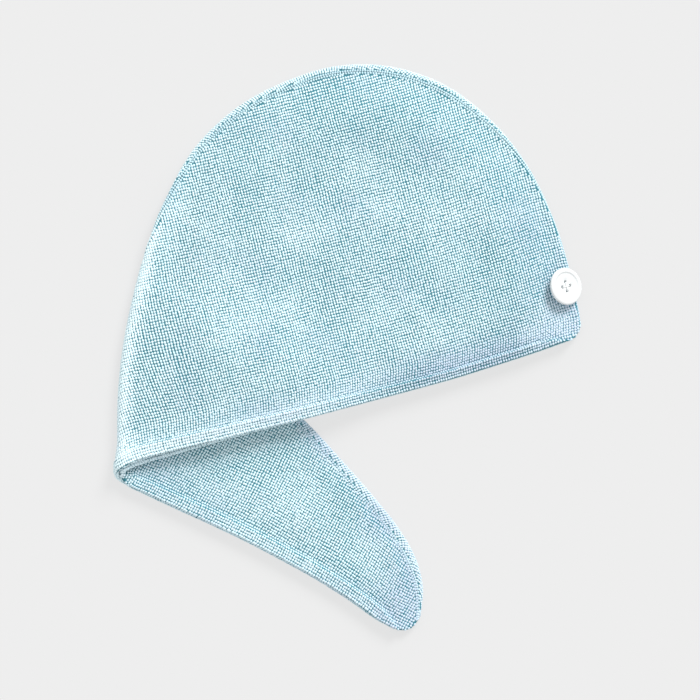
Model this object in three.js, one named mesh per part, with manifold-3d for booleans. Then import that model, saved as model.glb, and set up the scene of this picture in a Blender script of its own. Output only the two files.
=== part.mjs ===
// Hair turban towel, lying flat: a terry hood open along its straight hem, its long tail folded under it.
// Millimetres, +Z up. The towel is laid out flat as a pattern (u along the hem, v towards the crown),
// each panel gets its height, and the tail is then bent round the fold line to lie under the hood.
import * as THREE from "three";
import { mergeVertices } from "three/addons/utils/BufferGeometryUtils.js";
import Module from "manifold-3d";

const wasm = await Module();
wasm.setup();

// Driving sizes of the towel.
const HOOD_LENGTH = 390; // fold to the button corner, along the hem
const TAIL_LENGTH = 266; // fold to the tail's tip, along the hem
const CROWN_HEIGHT = 271; // hem to the top of the crown
const LAY_ANGLE = 15; // degrees that the hood's hem is turned as it lies
const FOLD_ANGLE = 68.6; // degrees between the hem and the fold line
const FOLD_LENGTH = 173; // hem to seam along the fold
const FOLD_BULGE = 8; // how far the fold bulges out between its ends
const BULGE_REACH = 75; // distance from the fold in which the bulge dies out

// Cloth.
const CLOTH_HALF = 1.2; // half of the terry's thickness
const HEM_HALF = 2.1; // half of the turned hem's thickness
const HEM_BAND = 12; // width of the turned hem
const HEM_STEP = 3; // width over which the hem thins down to the cloth
const PANEL_GAP = 1.2; // air between the two panels where they lie on each other
const FOLD_INNER = 0.8; // radius of air inside the fold
const TAIL_CLEARANCE = 2 * FOLD_INNER; // between the tail and the hood on it
const SEAM_GAP = 0.3; // between the two panels' ends at the seam
const RIM_ROUND = 1.2; // how far the rims are rounded
const RIM_SHARE = 0.5; // thickness left at a rim

// Seam edge: the panels roll round a small nose and meet at the seam line.
const NOSE_RADIUS = CLOTH_HALF + PANEL_GAP / 2; // to the middle of the cloth
const EDGE_STRIP = 8; // width of the flattened edge
const NOSE_PATH = (Math.PI / 2) * NOSE_RADIUS;
const EDGE_INSET = NOSE_RADIUS + CLOTH_HALF; // outline to the nose's centre
const STRIP_PATH = NOSE_PATH + EDGE_STRIP - EDGE_INSET;

// Fullness of the hood and tail.
const HOOD_ARCH = 12; // how far the upper panel rises over its edge
const SEAM_RISE = 46; // width of that rise along the seam
const FOLD_RISE = 95; // width of that rise along the fold
const RISE_POWER = 2.2;
const RISE_EASE = 0.1;
const MOUTH_SHARE = 0.66; // share of the rise left at the open hem
const MOUTH_DEPTH = 60; // distance in which it reaches its full height
const MOUTH_CURL = 2; // how far the hem turns down at its very edge
const TAIL_PUFF = 2.4;
const TAIL_PUFF_REACH = 60; // distance past the hood's hem in which the tail fills out
const LIFT_REACH = 26; // width in which the lower panel comes down beside the tail
const LIFT_MARGIN = 1; // how far past the tail's edge it starts to
const UPPER_LIFT_REACH = 80; // the same for the upper panel
const HEM_LIFT_REACH = 25; // distance from the fold in which the thick hem's lift dies out
const WAVE_HEIGHT = 0.9; // slow unevenness of the hood's top
const WAVE_LENGTH = 118;
const WAVE_SKEW = 0.5;

// Button.
const BUTTON_RADIUS = 15;
const BUTTON_THICKNESS = 3.8;
const BUTTON_EDGE = 0.7; // rounding of the button's outer edge
const BACK_ROUND = 2.4; // width of the rounding at the back
const FACE_ROUND = 1.6; // width of the rounding at the face
const DISH_RADIUS = 11.2;
const DISH_DEPTH = 1.1;
const DISH_SLOPE = 0.9; // width of the step down into the dish
const BUTTON_SIDES = 40;
const HOLE_SIDES = 12;
const THREAD_SIDES = 8;
const HOLE_RADIUS = 1;
const HOLE_SPREAD = 3.7; // button's axis to a hole
const BUTTON_TILT = 35;
const BUTTON_TURN = 12; // degrees the tilt points up from the right
const BUTTON_STATION = 2; // row of the stations' table that the button is sewn beside
const BUTTON_INSET = 6.3; // seam's outline to the button's centre
const BUTTON_CLEAR = 0.3; // between the button and the cloth that it leans on
const THREAD_RADIUS = 0.6;
const SHANK_RADIUS = 1.8;
const THREAD_CLEAR = 0.3;

// Stations from the button corner to the tail's tip. hemU and seamU are shares of the hood's length where
// positive and of the tail's where negative, hemV and seamV are shares of the crown's height. roll is how
// far the seam line lies from the edge in mm, towards the upper panel's side. peek is how far the lower
// panel's hem stands out past the upper one's in mm. bow rounds the two ends outwards, as a share of the
// station's length.
const STATIONS = [
  { hemU: 0.955, hemV: 0.038, seamU: 0.995, seamV: 0.078, roll: 0, peek: 0, bow: 0.2 },
  { hemU: 0.918, hemV: 0.033, seamU: 1.0, seamV: 0.125, roll: 0, peek: 0, bow: 0.03 },
  { hemU: 0.868, hemV: 0.028, seamU: 1.002, seamV: 0.195, roll: 0, peek: 0, bow: 0 },
  { hemU: 0.8, hemV: 0.023, seamU: 1.003, seamV: 0.3, roll: 0, peek: 0, bow: 0 },
  { hemU: 0.72, hemV: 0.018, seamU: 0.997, seamV: 0.415, roll: 0, peek: 0, bow: 0 },
  { hemU: 0.635, hemV: 0.017, seamU: 0.976, seamV: 0.562, roll: 1, peek: 0, bow: 0 },
  { hemU: 0.55, hemV: 0.017, seamU: 0.931, seamV: 0.715, roll: 4, peek: 0, bow: 0 },
  { hemU: 0.465, hemV: 0.017, seamU: 0.855, seamV: 0.86, roll: 5.8, peek: 0, bow: 0 },
  { hemU: 0.385, hemV: 0.018, seamU: 0.755, seamV: 0.956, roll: 5.8, peek: 0, bow: 0 },
  { hemU: 0.305, hemV: 0.021, seamU: 0.65, seamV: 0.998, roll: 5.8, peek: 0.6, bow: 0 },
  { hemU: 0.236, hemV: 0.023, seamU: 0.545, seamV: 0.994, roll: 5.8, peek: 1.2, bow: 0 },
  { hemU: 0.173, hemV: 0.025, seamU: 0.43, seamV: 0.956, roll: 5.6, peek: 2.4, bow: 0 },
  { hemU: 0.113, hemV: 0.026, seamU: 0.322, seamV: 0.87, roll: 4.5, peek: 3.6, bow: 0 },
  { hemU: 0.056, hemV: 0.025, seamU: 0.246, seamV: 0.76, roll: 2.5, peek: 4, bow: 0 },
  { hemU: 0.024, hemV: 0.0175, seamU: 0.2065, seamV: 0.69, roll: 1, peek: 3.2, bow: 0 },
  { hemU: 0, hemV: 0, seamU: 0.164, seamV: 0.602, roll: 0, peek: 1, bow: 0 },
  { hemU: -0.034, hemV: -0.0145, seamU: 0.126, seamV: 0.535, roll: -0.5, peek: -0.6, bow: 0 },
  { hemU: -0.095, hemV: -0.014, seamU: 0.049, seamV: 0.487, roll: -2, peek: -1.4, bow: 0 },
  { hemU: -0.19, hemV: -0.01, seamU: -0.105, seamV: 0.452, roll: -3.5, peek: -1.5, bow: 0 },
  { hemU: -0.31, hemV: -0.003, seamU: -0.265, seamV: 0.432, roll: -5, peek: -1.2, bow: 0 },
  { hemU: -0.436, hemV: 0.002, seamU: -0.418, seamV: 0.399, roll: -6, peek: -1, bow: 0 },
  { hemU: -0.556, hemV: 0.002, seamU: -0.564, seamV: 0.349, roll: -7, peek: -1, bow: 0 },
  { hemU: -0.662, hemV: 0, seamU: -0.714, seamV: 0.293, roll: -7.5, peek: -1, bow: 0 },
  { hemU: -0.752, hemV: -0.006, seamU: -0.827, seamV: 0.243, roll: -7.5, peek: -1, bow: 0 },
  { hemU: -0.827, hemV: -0.014, seamU: -0.913, seamV: 0.187, roll: -7, peek: -0.8, bow: 0 },
  { hemU: -0.887, hemV: -0.022, seamU: -0.97, seamV: 0.121, roll: -5, peek: -0.4, bow: 0.04 },
  { hemU: -0.94, hemV: -0.022, seamU: -1.0, seamV: 0.045, roll: -3, peek: 0, bow: 0.26 },
];
const END_BOW = 0.2; // bow at which a station counts as a rounded end
const SEAT_START = 100; // height, well above the cloth, from which the button is let down on it
const TANGENT_STEP = 0.002; // share of the table over which the seam's direction is read
const COLUMNS_PER_STATION = 2;
const BEND_COLUMNS = 4; // columns per station round the bend
const BEND_SHARE = 0.1; // stations nearer to the fold than this share of a length are round the bend
const INNER_ROWS = 9;
const EDGE_ROWS = 8;

const radians = THREE.MathUtils.degToRad;
const smooth = (value) => THREE.MathUtils.smoothstep(value, 0, 1);
const foldCos = Math.cos(radians(FOLD_ANGLE));
const foldSin = Math.sin(radians(FOLD_ANGLE));

// Distance of a pattern point from the fold line, positive on the hood's side.
function fromFold(point) {
  return point.x * foldSin - point.y * foldCos;
}

// Distance of a pattern point along the fold line, from the hem's end.
function alongFold(point) {
  return point.x * foldCos + point.y * foldSin;
}

function pointFromFold(away, along) {
  return new THREE.Vector2(away * foldSin + along * foldCos, -away * foldCos + along * foldSin);
}

// The folded-over place of a pattern point.
function mirrored(point) {
  return pointFromFold(-fromFold(point), alongFold(point));
}

function lengthShare(share) {
  return share * (share > 0 ? HOOD_LENGTH : TAIL_LENGTH);
}

// Smooth curves through one pair of columns of the table.
function tableCurve(read) {
  const points = STATIONS.map((row) => new THREE.Vector3(...read(row)));
  return new THREE.CatmullRomCurve3(points, false, "centripetal");
}

const hemCurve = tableCurve((row) => [lengthShare(row.hemU), row.hemV * CROWN_HEIGHT, 0]);
const seamCurve = tableCurve((row) => [lengthShare(row.seamU), row.seamV * CROWN_HEIGHT, 0]);

function tableValue(key, where) {
  const last = STATIONS.length - 1;
  const index = Math.min(Math.floor(where * last), last - 1);
  return THREE.MathUtils.lerp(STATIONS[index][key], STATIONS[index + 1][key], where * last - index);
}

function flat(point) {
  return new THREE.Vector2(point.x, point.y);
}

// One station of the pattern: its hem and seam points, the direction between them, the way outwards past
// the towel's nearer end and the seam's inward direction. At the rounded ends that leans towards the hem.
function stationAt(where) {
  const before = flat(seamCurve.getPoint(Math.max(where - TANGENT_STEP, 0)));
  const after = flat(seamCurve.getPoint(Math.min(where + TANGENT_STEP, 1)));
  const along = after.sub(before).normalize();
  const hem = flat(hemCurve.getPoint(where));
  const seam = flat(seamCurve.getPoint(where));
  const ahead = seam.clone().sub(hem).normalize();
  const bow = tableValue("bow", where);
  const inward = new THREE.Vector2(-along.y, along.x);
  inward.lerp(ahead.clone().negate(), Math.min(bow / END_BOW, 1));
  return {
    hem,
    seam,
    ahead,
    reach: seam.distanceTo(hem),
    outward: new THREE.Vector2(ahead.y, -ahead.x).multiplyScalar(Math.sign(seam.x)),
    inward: inward.normalize(),
    roll: tableValue("roll", where),
    peek: tableValue("peek", where),
    bow,
  };
}

// The pattern point of a station at a point of its straight line, moved out by the station's bow.
function bowed(station, point) {
  const fromHem = point.clone().sub(station.hem).dot(station.ahead);
  const share = THREE.MathUtils.clamp(fromHem / station.reach, 0, 1);
  const out = station.bow * station.reach * 4 * share * (1 - share);
  return point.clone().addScaledVector(station.outward, out);
}

// Each step of the table gives a few columns, more of them round the bend.
const steps = STATIONS.length - 1;
const stations = [stationAt(0)];
for (let step = 0; step < steps; step += 1) {
  const bends = Math.abs(STATIONS[step].hemU + STATIONS[step + 1].hemU) < BEND_SHARE;
  const columns = bends ? BEND_COLUMNS : COLUMNS_PER_STATION;
  for (let column = 1; column <= columns; column += 1) {
    stations.push(stationAt((step + column / columns) / steps));
  }
}
const tailSide = stations.filter((station) => fromFold(station.seam) <= 0);
const tailSeam = tailSide.map((station) => mirrored(station.seam));
const tailOutline = [...tailSeam, ...tailSide.map((station) => mirrored(station.hem)).reverse()];

function distanceToPath(point, path) {
  let nearest = Infinity;
  for (let index = 0; index + 1 < path.length; index += 1) {
    const side = path[index + 1].clone().sub(path[index]);
    const along = point.clone().sub(path[index]).dot(side) / side.lengthSq();
    const foot = path[index].clone().addScaledVector(side, THREE.MathUtils.clamp(along, 0, 1));
    nearest = Math.min(nearest, point.distanceTo(foot));
  }
  return nearest;
}

function insideOutline(point, outline) {
  let inside = false;
  outline.forEach((corner, index) => {
    const next = outline[(index + 1) % outline.length];
    const crosses = corner.y > point.y !== next.y > point.y;
    const share = (point.y - corner.y) / (next.y - corner.y);
    if (crosses && point.x < corner.x + share * (next.x - corner.x)) {
      inside = !inside;
    }
  });
  return inside;
}

// How far a hood point lies outside the tail and the bend, 0 where it lies over the tail.
function outsideTail(point) {
  if (insideOutline(point, tailOutline)) {
    return 0;
  }
  return Math.min(distanceToPath(point, tailSeam), Math.max(fromFold(point) - BEND_REACH, 0));
}

function clothHalf(fromHem) {
  const hem = 1 - smooth((fromHem - HEM_BAND + HEM_STEP) / HEM_STEP);
  return CLOTH_HALF + (HEM_HALF - CLOTH_HALF) * hem;
}

// Distance from the fold's axis to the middle of each panel, and the axis's height, for a half thickness.
const lowerBend = (half) => FOLD_INNER + half;
const upperBend = (half) => FOLD_INNER + 3 * half + PANEL_GAP;
const axisHeight = (half) => half + upperBend(half);
const BEND_REACH = upperBend(CLOTH_HALF) + CLOTH_HALF;

function tailLift(half) {
  return 4 * half + PANEL_GAP + TAIL_CLEARANCE;
}

// Rises from 0 to 1 over the reach, starting softly and then steeply.
function riseTo(distance, reach) {
  const share = THREE.MathUtils.clamp(distance / reach, 0, 1);
  const eased = (share * share * (1 + RISE_EASE)) / (share + RISE_EASE);
  return 1 - (1 - eased) ** RISE_POWER;
}

// Heights of the two panels' middles over the floor, for a hood point.
function hoodHeights(spot) {
  const pastBend = Math.max(fromFold(spot.at) - BEND_REACH, 0);
  const under = CLOTH_HALF + (spot.half - CLOTH_HALF) * (1 - smooth(pastBend / HEM_LIFT_REACH));
  const outside = outsideTail(spot.at);
  const lift = tailLift(under) * (1 - smooth((outside - LIFT_MARGIN) / LIFT_REACH));
  const wideLift = tailLift(under) * (1 - smooth(outside / UPPER_LIFT_REACH));
  const seamRise = riseTo(spot.fromSeam - EDGE_STRIP, SEAM_RISE);
  const full = seamRise * riseTo(pastBend, FOLD_RISE);
  const mouth = MOUTH_SHARE + (1 - MOUTH_SHARE) * smooth(spot.fromHem / MOUTH_DEPTH);
  const curl = MOUTH_CURL * full * (1 - smooth(spot.fromHem / HEM_BAND));
  const turns = (2 * Math.PI) / WAVE_LENGTH;
  const wave = Math.sin(spot.at.x * turns + 1) * Math.cos((spot.at.y - spot.at.x * WAVE_SKEW) * turns);
  return {
    lower: lift + spot.half,
    upper: lift + (wideLift - lift) * seamRise + 3 * spot.half + PANEL_GAP
      + full * (HOOD_ARCH * mouth + WAVE_HEIGHT * wave) - curl,
  };
}

function tailHeights(spot) {
  const folded = pointFromFold(Math.abs(fromFold(spot.at)), alongFold(spot.at));
  const pastHood = smooth((-folded.y - HEM_BAND) / TAIL_PUFF_REACH);
  const pastSeam = smooth((spot.fromSeam - EDGE_STRIP) / EDGE_STRIP);
  const pastHem = smooth(spot.fromHem / (2 * HEM_BAND));
  return { lower: 3 * spot.half + PANEL_GAP + TAIL_PUFF * pastHood * pastSeam * pastHem, upper: spot.half };
}

// The place on the floor of a point that lies so far from the fold line and along it, with the fold's bulge.
function onFloor(away, along) {
  const bulge = FOLD_BULGE * Math.sin(Math.PI * THREE.MathUtils.clamp(along / FOLD_LENGTH, 0, 1));
  return pointFromFold(away - bulge * (1 - smooth(away / BULGE_REACH)), along);
}

// Places a point of a panel, offset from the panel's middle and shifted in plan: the hood stays where it
// is, the tail goes round the fold.
function placed(spot, side, offset, shift = new THREE.Vector2()) {
  const at = spot.at.clone().add(shift);
  const away = fromFold(at);
  const middle = side === "upper" ? upperBend(spot.half) : lowerBend(spot.half);
  let reach = Math.abs(away);
  let height;
  if (away >= BEND_REACH) {
    height = hoodHeights(spot)[side] + offset;
  } else if (away <= -BEND_REACH) {
    height = tailHeights(spot)[side] - offset;
  } else {
    const turn = ((BEND_REACH - away) / (2 * BEND_REACH)) * Math.PI;
    const radius = middle + offset;
    reach = BEND_REACH - radius * Math.sin(turn);
    height = axisHeight(spot.half) + radius * Math.cos(turn);
  }
  const plan = onFloor(reach, alongFold(at));
  return new THREE.Vector3(plan.x, plan.y, height);
}

// A place on the rolled edge. path runs from the nose's outermost line, positive up the upper panel's side.
function edgePlace(station, path) {
  const round = THREE.MathUtils.clamp(path, -NOSE_PATH, NOSE_PATH);
  const turn = round / NOSE_RADIUS;
  const inset = EDGE_INSET - NOSE_RADIUS * Math.cos(turn) + Math.abs(path - round);
  return {
    at: bowed(station, station.seam.clone().addScaledVector(station.inward, inset)),
    out: -Math.cos(turn),
    up: Math.sin(turn),
    rise: NOSE_RADIUS * Math.sin(turn),
  };
}

// The rolled edge is one body of cloth, so its height comes from the nose's centre.
function placedEdge(station, path, offset) {
  const edge = edgePlace(station, path);
  const shift = station.inward.clone().multiplyScalar(edge.out * offset);
  const spot = { at: edge.at, half: CLOTH_HALF, fromHem: station.hem.distanceTo(edge.at), fromSeam: 0 };
  return placed(spot, "lower", NOSE_RADIUS + edge.rise + edge.up * offset, shift);
}

// One panel's grid of outer and inner points, from the hem to the seam.
function panelColumn(station, side) {
  const points = { outer: [], inner: [] };
  const toSeam = side === "upper" ? 1 : -1;
  const peek = side === "upper" ? 0 : station.peek;
  const hemStart = station.hem.clone().addScaledVector(station.ahead, -peek);
  const stripStart = station.seam.clone().addScaledVector(station.inward, EDGE_STRIP);
  const run = stripStart.clone().sub(hemStart);
  const runLength = run.length();
  const band = Math.min(HEM_BAND, station.reach / 4);
  const addRow = (at, fromHem, share) => {
    const fromSeam = Math.max(distanceToPath(at, seamLine), EDGE_STRIP);
    const spot = { at, half: clothHalf(fromHem), fromHem, fromSeam };
    points.outer.push(placed(spot, side, toSeam * spot.half * share));
    points.inner.push(placed(spot, side, -toSeam * spot.half * share));
  };
  const place = (distance) => bowed(station, hemStart.clone().addScaledVector(run, distance / runLength));
  addRow(place(0), 0, RIM_SHARE);
  addRow(place(RIM_ROUND), RIM_ROUND, 1);
  addRow(place(band * (1 - HEM_STEP / HEM_BAND)), HEM_BAND - HEM_STEP, 1);
  for (let index = 0; index < INNER_ROWS; index += 1) {
    const distance = THREE.MathUtils.lerp(band, runLength, index / INNER_ROWS);
    addRow(place(distance), Math.max(distance, HEM_BAND), 1);
  }
  const from = toSeam * STRIP_PATH;
  const to = station.roll + (toSeam * SEAM_GAP) / 2;
  for (let index = 0; index <= EDGE_ROWS; index += 1) {
    const share = index === EDGE_ROWS ? RIM_SHARE : 1;
    const path = THREE.MathUtils.lerp(from, to, index / EDGE_ROWS);
    points.outer.push(placedEdge(station, path, CLOTH_HALF * share));
    points.inner.push(placedEdge(station, path, -CLOTH_HALF * share));
  }
  return points;
}

// Closes a grid of outer and inner points into one body with its faces pointing out.
function shellGeometry(columns, flip) {
  const rowCount = columns[0].outer.length;
  const positions = [];
  columns.forEach((column) => {
    [...column.outer, ...column.inner].forEach((point) => positions.push(point.x, point.y, point.z));
  });
  const outerAt = (column, row) => column * 2 * rowCount + row;
  const innerAt = (column, row) => outerAt(column, row) + rowCount;
  const faces = [];
  const addQuad = (a, b, c, d) => {
    const corners = flip ? [a, d, c, b] : [a, b, c, d];
    faces.push(corners[0], corners[1], corners[2], corners[0], corners[2], corners[3]);
  };
  for (let column = 0; column + 1 < columns.length; column += 1) {
    const next = column + 1;
    for (let row = 0; row + 1 < rowCount; row += 1) {
      addQuad(outerAt(column, row), outerAt(column, row + 1), outerAt(next, row + 1), outerAt(next, row));
      addQuad(innerAt(column, row), innerAt(next, row), innerAt(next, row + 1), innerAt(column, row + 1));
    }
    const top = rowCount - 1;
    addQuad(outerAt(column, 0), outerAt(next, 0), innerAt(next, 0), innerAt(column, 0));
    addQuad(outerAt(column, top), innerAt(column, top), innerAt(next, top), outerAt(next, top));
  }
  const end = columns.length - 1;
  for (let row = 0; row + 1 < rowCount; row += 1) {
    addQuad(outerAt(0, row), innerAt(0, row), innerAt(0, row + 1), outerAt(0, row + 1));
    addQuad(outerAt(end, row), outerAt(end, row + 1), innerAt(end, row + 1), innerAt(end, row));
  }
  const geometry = new THREE.BufferGeometry();
  geometry.setAttribute("position", new THREE.Float32BufferAttribute(positions, 3));
  geometry.setIndex(faces);
  return geometry;
}

function asSolid(geometry, matrix) {
  const shape = geometry.clone().applyMatrix4(matrix ?? new THREE.Matrix4());
  shape.deleteAttribute("normal");
  shape.deleteAttribute("uv");
  const merged = mergeVertices(shape, 1e-4);
  return new wasm.Manifold(new wasm.Mesh({
    numProp: 3,
    vertProperties: new Float32Array(merged.attributes.position.array),
    triVerts: new Uint32Array(merged.index.array),
  }));
}

function asGeometry(solid) {
  const mesh = solid.getMesh();
  const geometry = new THREE.BufferGeometry();
  geometry.setAttribute("position", new THREE.Float32BufferAttribute(mesh.vertProperties, 3));
  geometry.setIndex(Array.from(mesh.triVerts));
  return geometry;
}

// A round bar between two points.
function bar(from, to, radius, sides) {
  const along = to.clone().sub(from);
  const geometry = new THREE.CylinderGeometry(radius, radius, along.length(), sides);
  const upright = new THREE.Vector3(0, 1, 0);
  const turn = new THREE.Quaternion().setFromUnitVectors(upright, along.clone().normalize());
  const middle = from.clone().addScaledVector(along, 0.5);
  return asSolid(geometry, new THREE.Matrix4().compose(middle, turn, new THREE.Vector3(1, 1, 1)));
}

const threadBelow = -BUTTON_THICKNESS / 2 - THREAD_CLEAR - THREAD_RADIUS;
const holeCentres = [0, 1, 2, 3].map((index) => {
  const turn = (index * Math.PI) / 2;
  return new THREE.Vector2(HOLE_SPREAD * Math.cos(turn), HOLE_SPREAD * Math.sin(turn));
});

// The button about its own axis, its middle at the origin.
function buttonGeometry() {
  const half = BUTTON_THICKNESS / 2;
  const profile = [
    [0, -half],
    [BUTTON_RADIUS - BACK_ROUND, -half],
    [BUTTON_RADIUS - BUTTON_EDGE, -half + BUTTON_EDGE],
    [BUTTON_RADIUS, 0],
    [BUTTON_RADIUS - BUTTON_EDGE / 2, half - BUTTON_EDGE],
    [BUTTON_RADIUS - FACE_ROUND, half],
    [DISH_RADIUS + DISH_SLOPE, half],
    [DISH_RADIUS, half - DISH_DEPTH / 2],
    [DISH_RADIUS - DISH_SLOPE, half - DISH_DEPTH],
    [0, half - DISH_DEPTH],
  ].map(([radius, height]) => new THREE.Vector2(radius, height));
  const lathe = new THREE.LatheGeometry(profile, BUTTON_SIDES);
  const upright = new THREE.Matrix4().makeRotationX(Math.PI / 2);
  return holeCentres.reduce((solid, hole) => {
    const low = new THREE.Vector3(hole.x, hole.y, -BUTTON_THICKNESS);
    const high = new THREE.Vector3(hole.x, hole.y, BUTTON_THICKNESS);
    return solid.subtract(bar(low, high, HOLE_RADIUS, HOLE_SIDES));
  }, asSolid(lathe, upright));
}

// Thread up and down through the holes, crossing on the dish, with a shank down to the cloth.
function threadGeometry(shankEnd) {
  const crossing = BUTTON_THICKNESS / 2 - DISH_DEPTH + THREAD_CLEAR + THREAD_RADIUS;
  const below = threadBelow;
  const parts = holeCentres.map((hole) => bar(
    new THREE.Vector3(hole.x, hole.y, below),
    new THREE.Vector3(hole.x, hole.y, crossing),
    THREAD_RADIUS,
    THREAD_SIDES,
  ));
  [[0, 2], [1, 3]].forEach(([from, to]) => {
    [below, crossing].forEach((height) => {
      const start = new THREE.Vector3(holeCentres[from].x, holeCentres[from].y, height);
      const end = new THREE.Vector3(holeCentres[to].x, holeCentres[to].y, height);
      parts.push(bar(start, end, THREAD_RADIUS, THREAD_SIDES));
    });
  });
  const low = new THREE.Vector3(0, 0, shankEnd);
  parts.push(bar(low, new THREE.Vector3(0, 0, below), SHANK_RADIUS, HOLE_SIDES));
  return parts.reduce((solid, part) => solid.add(part));
}

// A ring of points about the button's axis.
function ring(radius, height) {
  return Array.from({ length: BUTTON_SIDES }, (_, side) => {
    const turn = (side / BUTTON_SIDES) * 2 * Math.PI;
    return new THREE.Vector3(radius * Math.cos(turn), radius * Math.sin(turn), height);
  });
}

// How far a point can move in a direction before it meets the cloth.
function roomTo(cloth, point, direction) {
  const hits = new THREE.Raycaster(point, direction).intersectObject(cloth);
  return hits.length > 0 ? hits[0].distance : Infinity;
}

// Seats the button on the cloth: its pose, and how far down its own axis the shank reaches.
function seatButton(cloth) {
  const half = BUTTON_THICKNESS / 2;
  const station = stationAt(BUTTON_STATION / steps);
  const spot = station.seam.clone().addScaledVector(station.inward, BUTTON_INSET);
  const pose = new THREE.Matrix4().makeRotationZ(radians(BUTTON_TURN))
    .multiply(new THREE.Matrix4().makeRotationY(radians(BUTTON_TILT)));
  const axisDown = new THREE.Vector3(0, 0, -1).transformDirection(pose);
  const centre = new THREE.Vector3(spot.x, spot.y, SEAT_START).applyMatrix4(layTurn);
  pose.setPosition(centre);
  const underside = [
    ...ring(BUTTON_RADIUS, 0),
    ...ring(BUTTON_RADIUS - BUTTON_EDGE, BUTTON_EDGE - half),
    ...ring(BUTTON_RADIUS - BACK_ROUND, -half),
    ...ring(BUTTON_RADIUS / 2, -half),
    ...ring(HOLE_SPREAD + THREAD_RADIUS, threadBelow - THREAD_RADIUS),
  ];
  const down = new THREE.Vector3(0, 0, -1);
  const drop = Math.min(...underside.map((point) => roomTo(cloth, point.applyMatrix4(pose), down)));
  centre.z -= drop - BUTTON_CLEAR;
  pose.setPosition(centre);
  const foot = ring(SHANK_RADIUS, threadBelow).map((point) => point.applyMatrix4(pose));
  const shank = Math.min(...foot.map((point) => roomTo(cloth, point, axisDown)));
  return { pose, shankEnd: threadBelow - shank + THREAD_CLEAR };
}

const seamLine = stations.map((station) => station.seam);
const clothMaterial = { color: 0xb8d8e2, roughness: 0.95, metalness: 0 };
const whiteMaterial = { color: 0xfafbfb, roughness: 0.32, metalness: 0 };
const threadMaterial = { color: 0xf2f4f5, roughness: 0.8, metalness: 0 };

// Turns the pattern's frame to the way that the towel lies, then sets its middle over the origin.
const layTurn = new THREE.Matrix4().makeRotationZ(radians(LAY_ANGLE));
const panels = ["upper", "lower"].map((side) => {
  const columns = stations.map((station) => panelColumn(station, side));
  return shellGeometry(columns, side === "lower").applyMatrix4(layTurn);
});
const bounds = new THREE.Box3();
panels.forEach((geometry) => {
  geometry.computeBoundingBox();
  bounds.union(geometry.boundingBox);
});
const seat = seatButton(new THREE.Mesh(panels[0]));
const trims = [buttonGeometry(), threadGeometry(seat.shankEnd)].map((solid) => {
  const geometry = asGeometry(solid).applyMatrix4(seat.pose);
  geometry.computeBoundingBox();
  bounds.union(geometry.boundingBox);
  return geometry;
});

const middle = bounds.getCenter(new THREE.Vector3());
const towel = new THREE.Group();
[
  ["upper_panel", panels[0], clothMaterial],
  ["lower_panel", panels[1], clothMaterial],
  ["button", trims[0], whiteMaterial],
  ["button_thread", trims[1], threadMaterial],
].forEach(([name, geometry, look]) => {
  geometry.translate(-middle.x, -middle.y, -bounds.min.z);
  const mesh = new THREE.Mesh(geometry, new THREE.MeshStandardMaterial(look));
  mesh.name = name;
  towel.add(mesh);
});

export default towel;
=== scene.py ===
# Hair turban towel of microfibre terry, lying flat: a hood open along its hem, its tail folded under it
# and a four-hole button at the corner. The pattern's sizes are in mm, the finished meshes in metres.
import bpy
import math
import numpy as np
from mathutils import Matrix, Vector
from mathutils.bvhtree import BVHTree


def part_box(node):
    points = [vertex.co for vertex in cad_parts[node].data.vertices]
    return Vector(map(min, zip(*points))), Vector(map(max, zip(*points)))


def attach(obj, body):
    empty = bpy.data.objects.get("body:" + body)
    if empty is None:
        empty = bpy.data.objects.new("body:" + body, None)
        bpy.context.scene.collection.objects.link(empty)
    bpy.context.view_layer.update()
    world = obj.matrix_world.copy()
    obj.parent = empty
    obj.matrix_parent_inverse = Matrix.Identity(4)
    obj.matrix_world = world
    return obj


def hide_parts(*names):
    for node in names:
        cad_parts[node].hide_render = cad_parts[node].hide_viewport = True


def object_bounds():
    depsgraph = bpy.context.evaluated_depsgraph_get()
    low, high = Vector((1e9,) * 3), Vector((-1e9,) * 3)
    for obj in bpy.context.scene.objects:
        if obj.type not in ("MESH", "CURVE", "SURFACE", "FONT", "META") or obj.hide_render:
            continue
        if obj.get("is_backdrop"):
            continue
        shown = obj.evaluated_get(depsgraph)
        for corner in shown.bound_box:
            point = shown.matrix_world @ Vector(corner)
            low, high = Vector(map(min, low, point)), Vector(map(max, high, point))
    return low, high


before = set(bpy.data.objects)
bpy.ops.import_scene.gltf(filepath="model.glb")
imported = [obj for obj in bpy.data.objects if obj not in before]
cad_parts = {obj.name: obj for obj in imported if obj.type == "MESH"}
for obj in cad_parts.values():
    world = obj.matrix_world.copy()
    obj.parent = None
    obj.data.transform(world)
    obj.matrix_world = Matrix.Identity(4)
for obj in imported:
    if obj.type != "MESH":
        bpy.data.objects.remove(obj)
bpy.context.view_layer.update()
mm = 0.001
print("frame loaded")


# ---- small helpers

# sRGB hex to linear red, green, blue and alpha
def linearColour(hexValue):
    channels = [int(hexValue[start:start + 2], 16) / 255 for start in (0, 2, 4)]
    return [c / 12.92 if c <= 0.04045 else ((c + 0.055) / 1.055) ** 2.4 for c in channels] + [1]


# a node with its settings and links; a setting is a property of the node or the value of an input
def addNode(tree, kind, settings=None, links=None):
    node = tree.nodes.new(kind)
    for key, value in (settings or {}).items():
        if isinstance(key, str) and hasattr(node, key):
            setattr(node, key, value)
        else:
            node.inputs[key].default_value = value
    for key, source in (links or {}).items():
        tree.links.new(source, node.inputs[key])
    return node


def smooth(value):
    value = np.clip(value, 0, 1)
    return value * value * (3 - 2 * value)


waves = {"count": 7, "shortest": 0.7, "longest": 1.8, "calm": 3.2}


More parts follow.
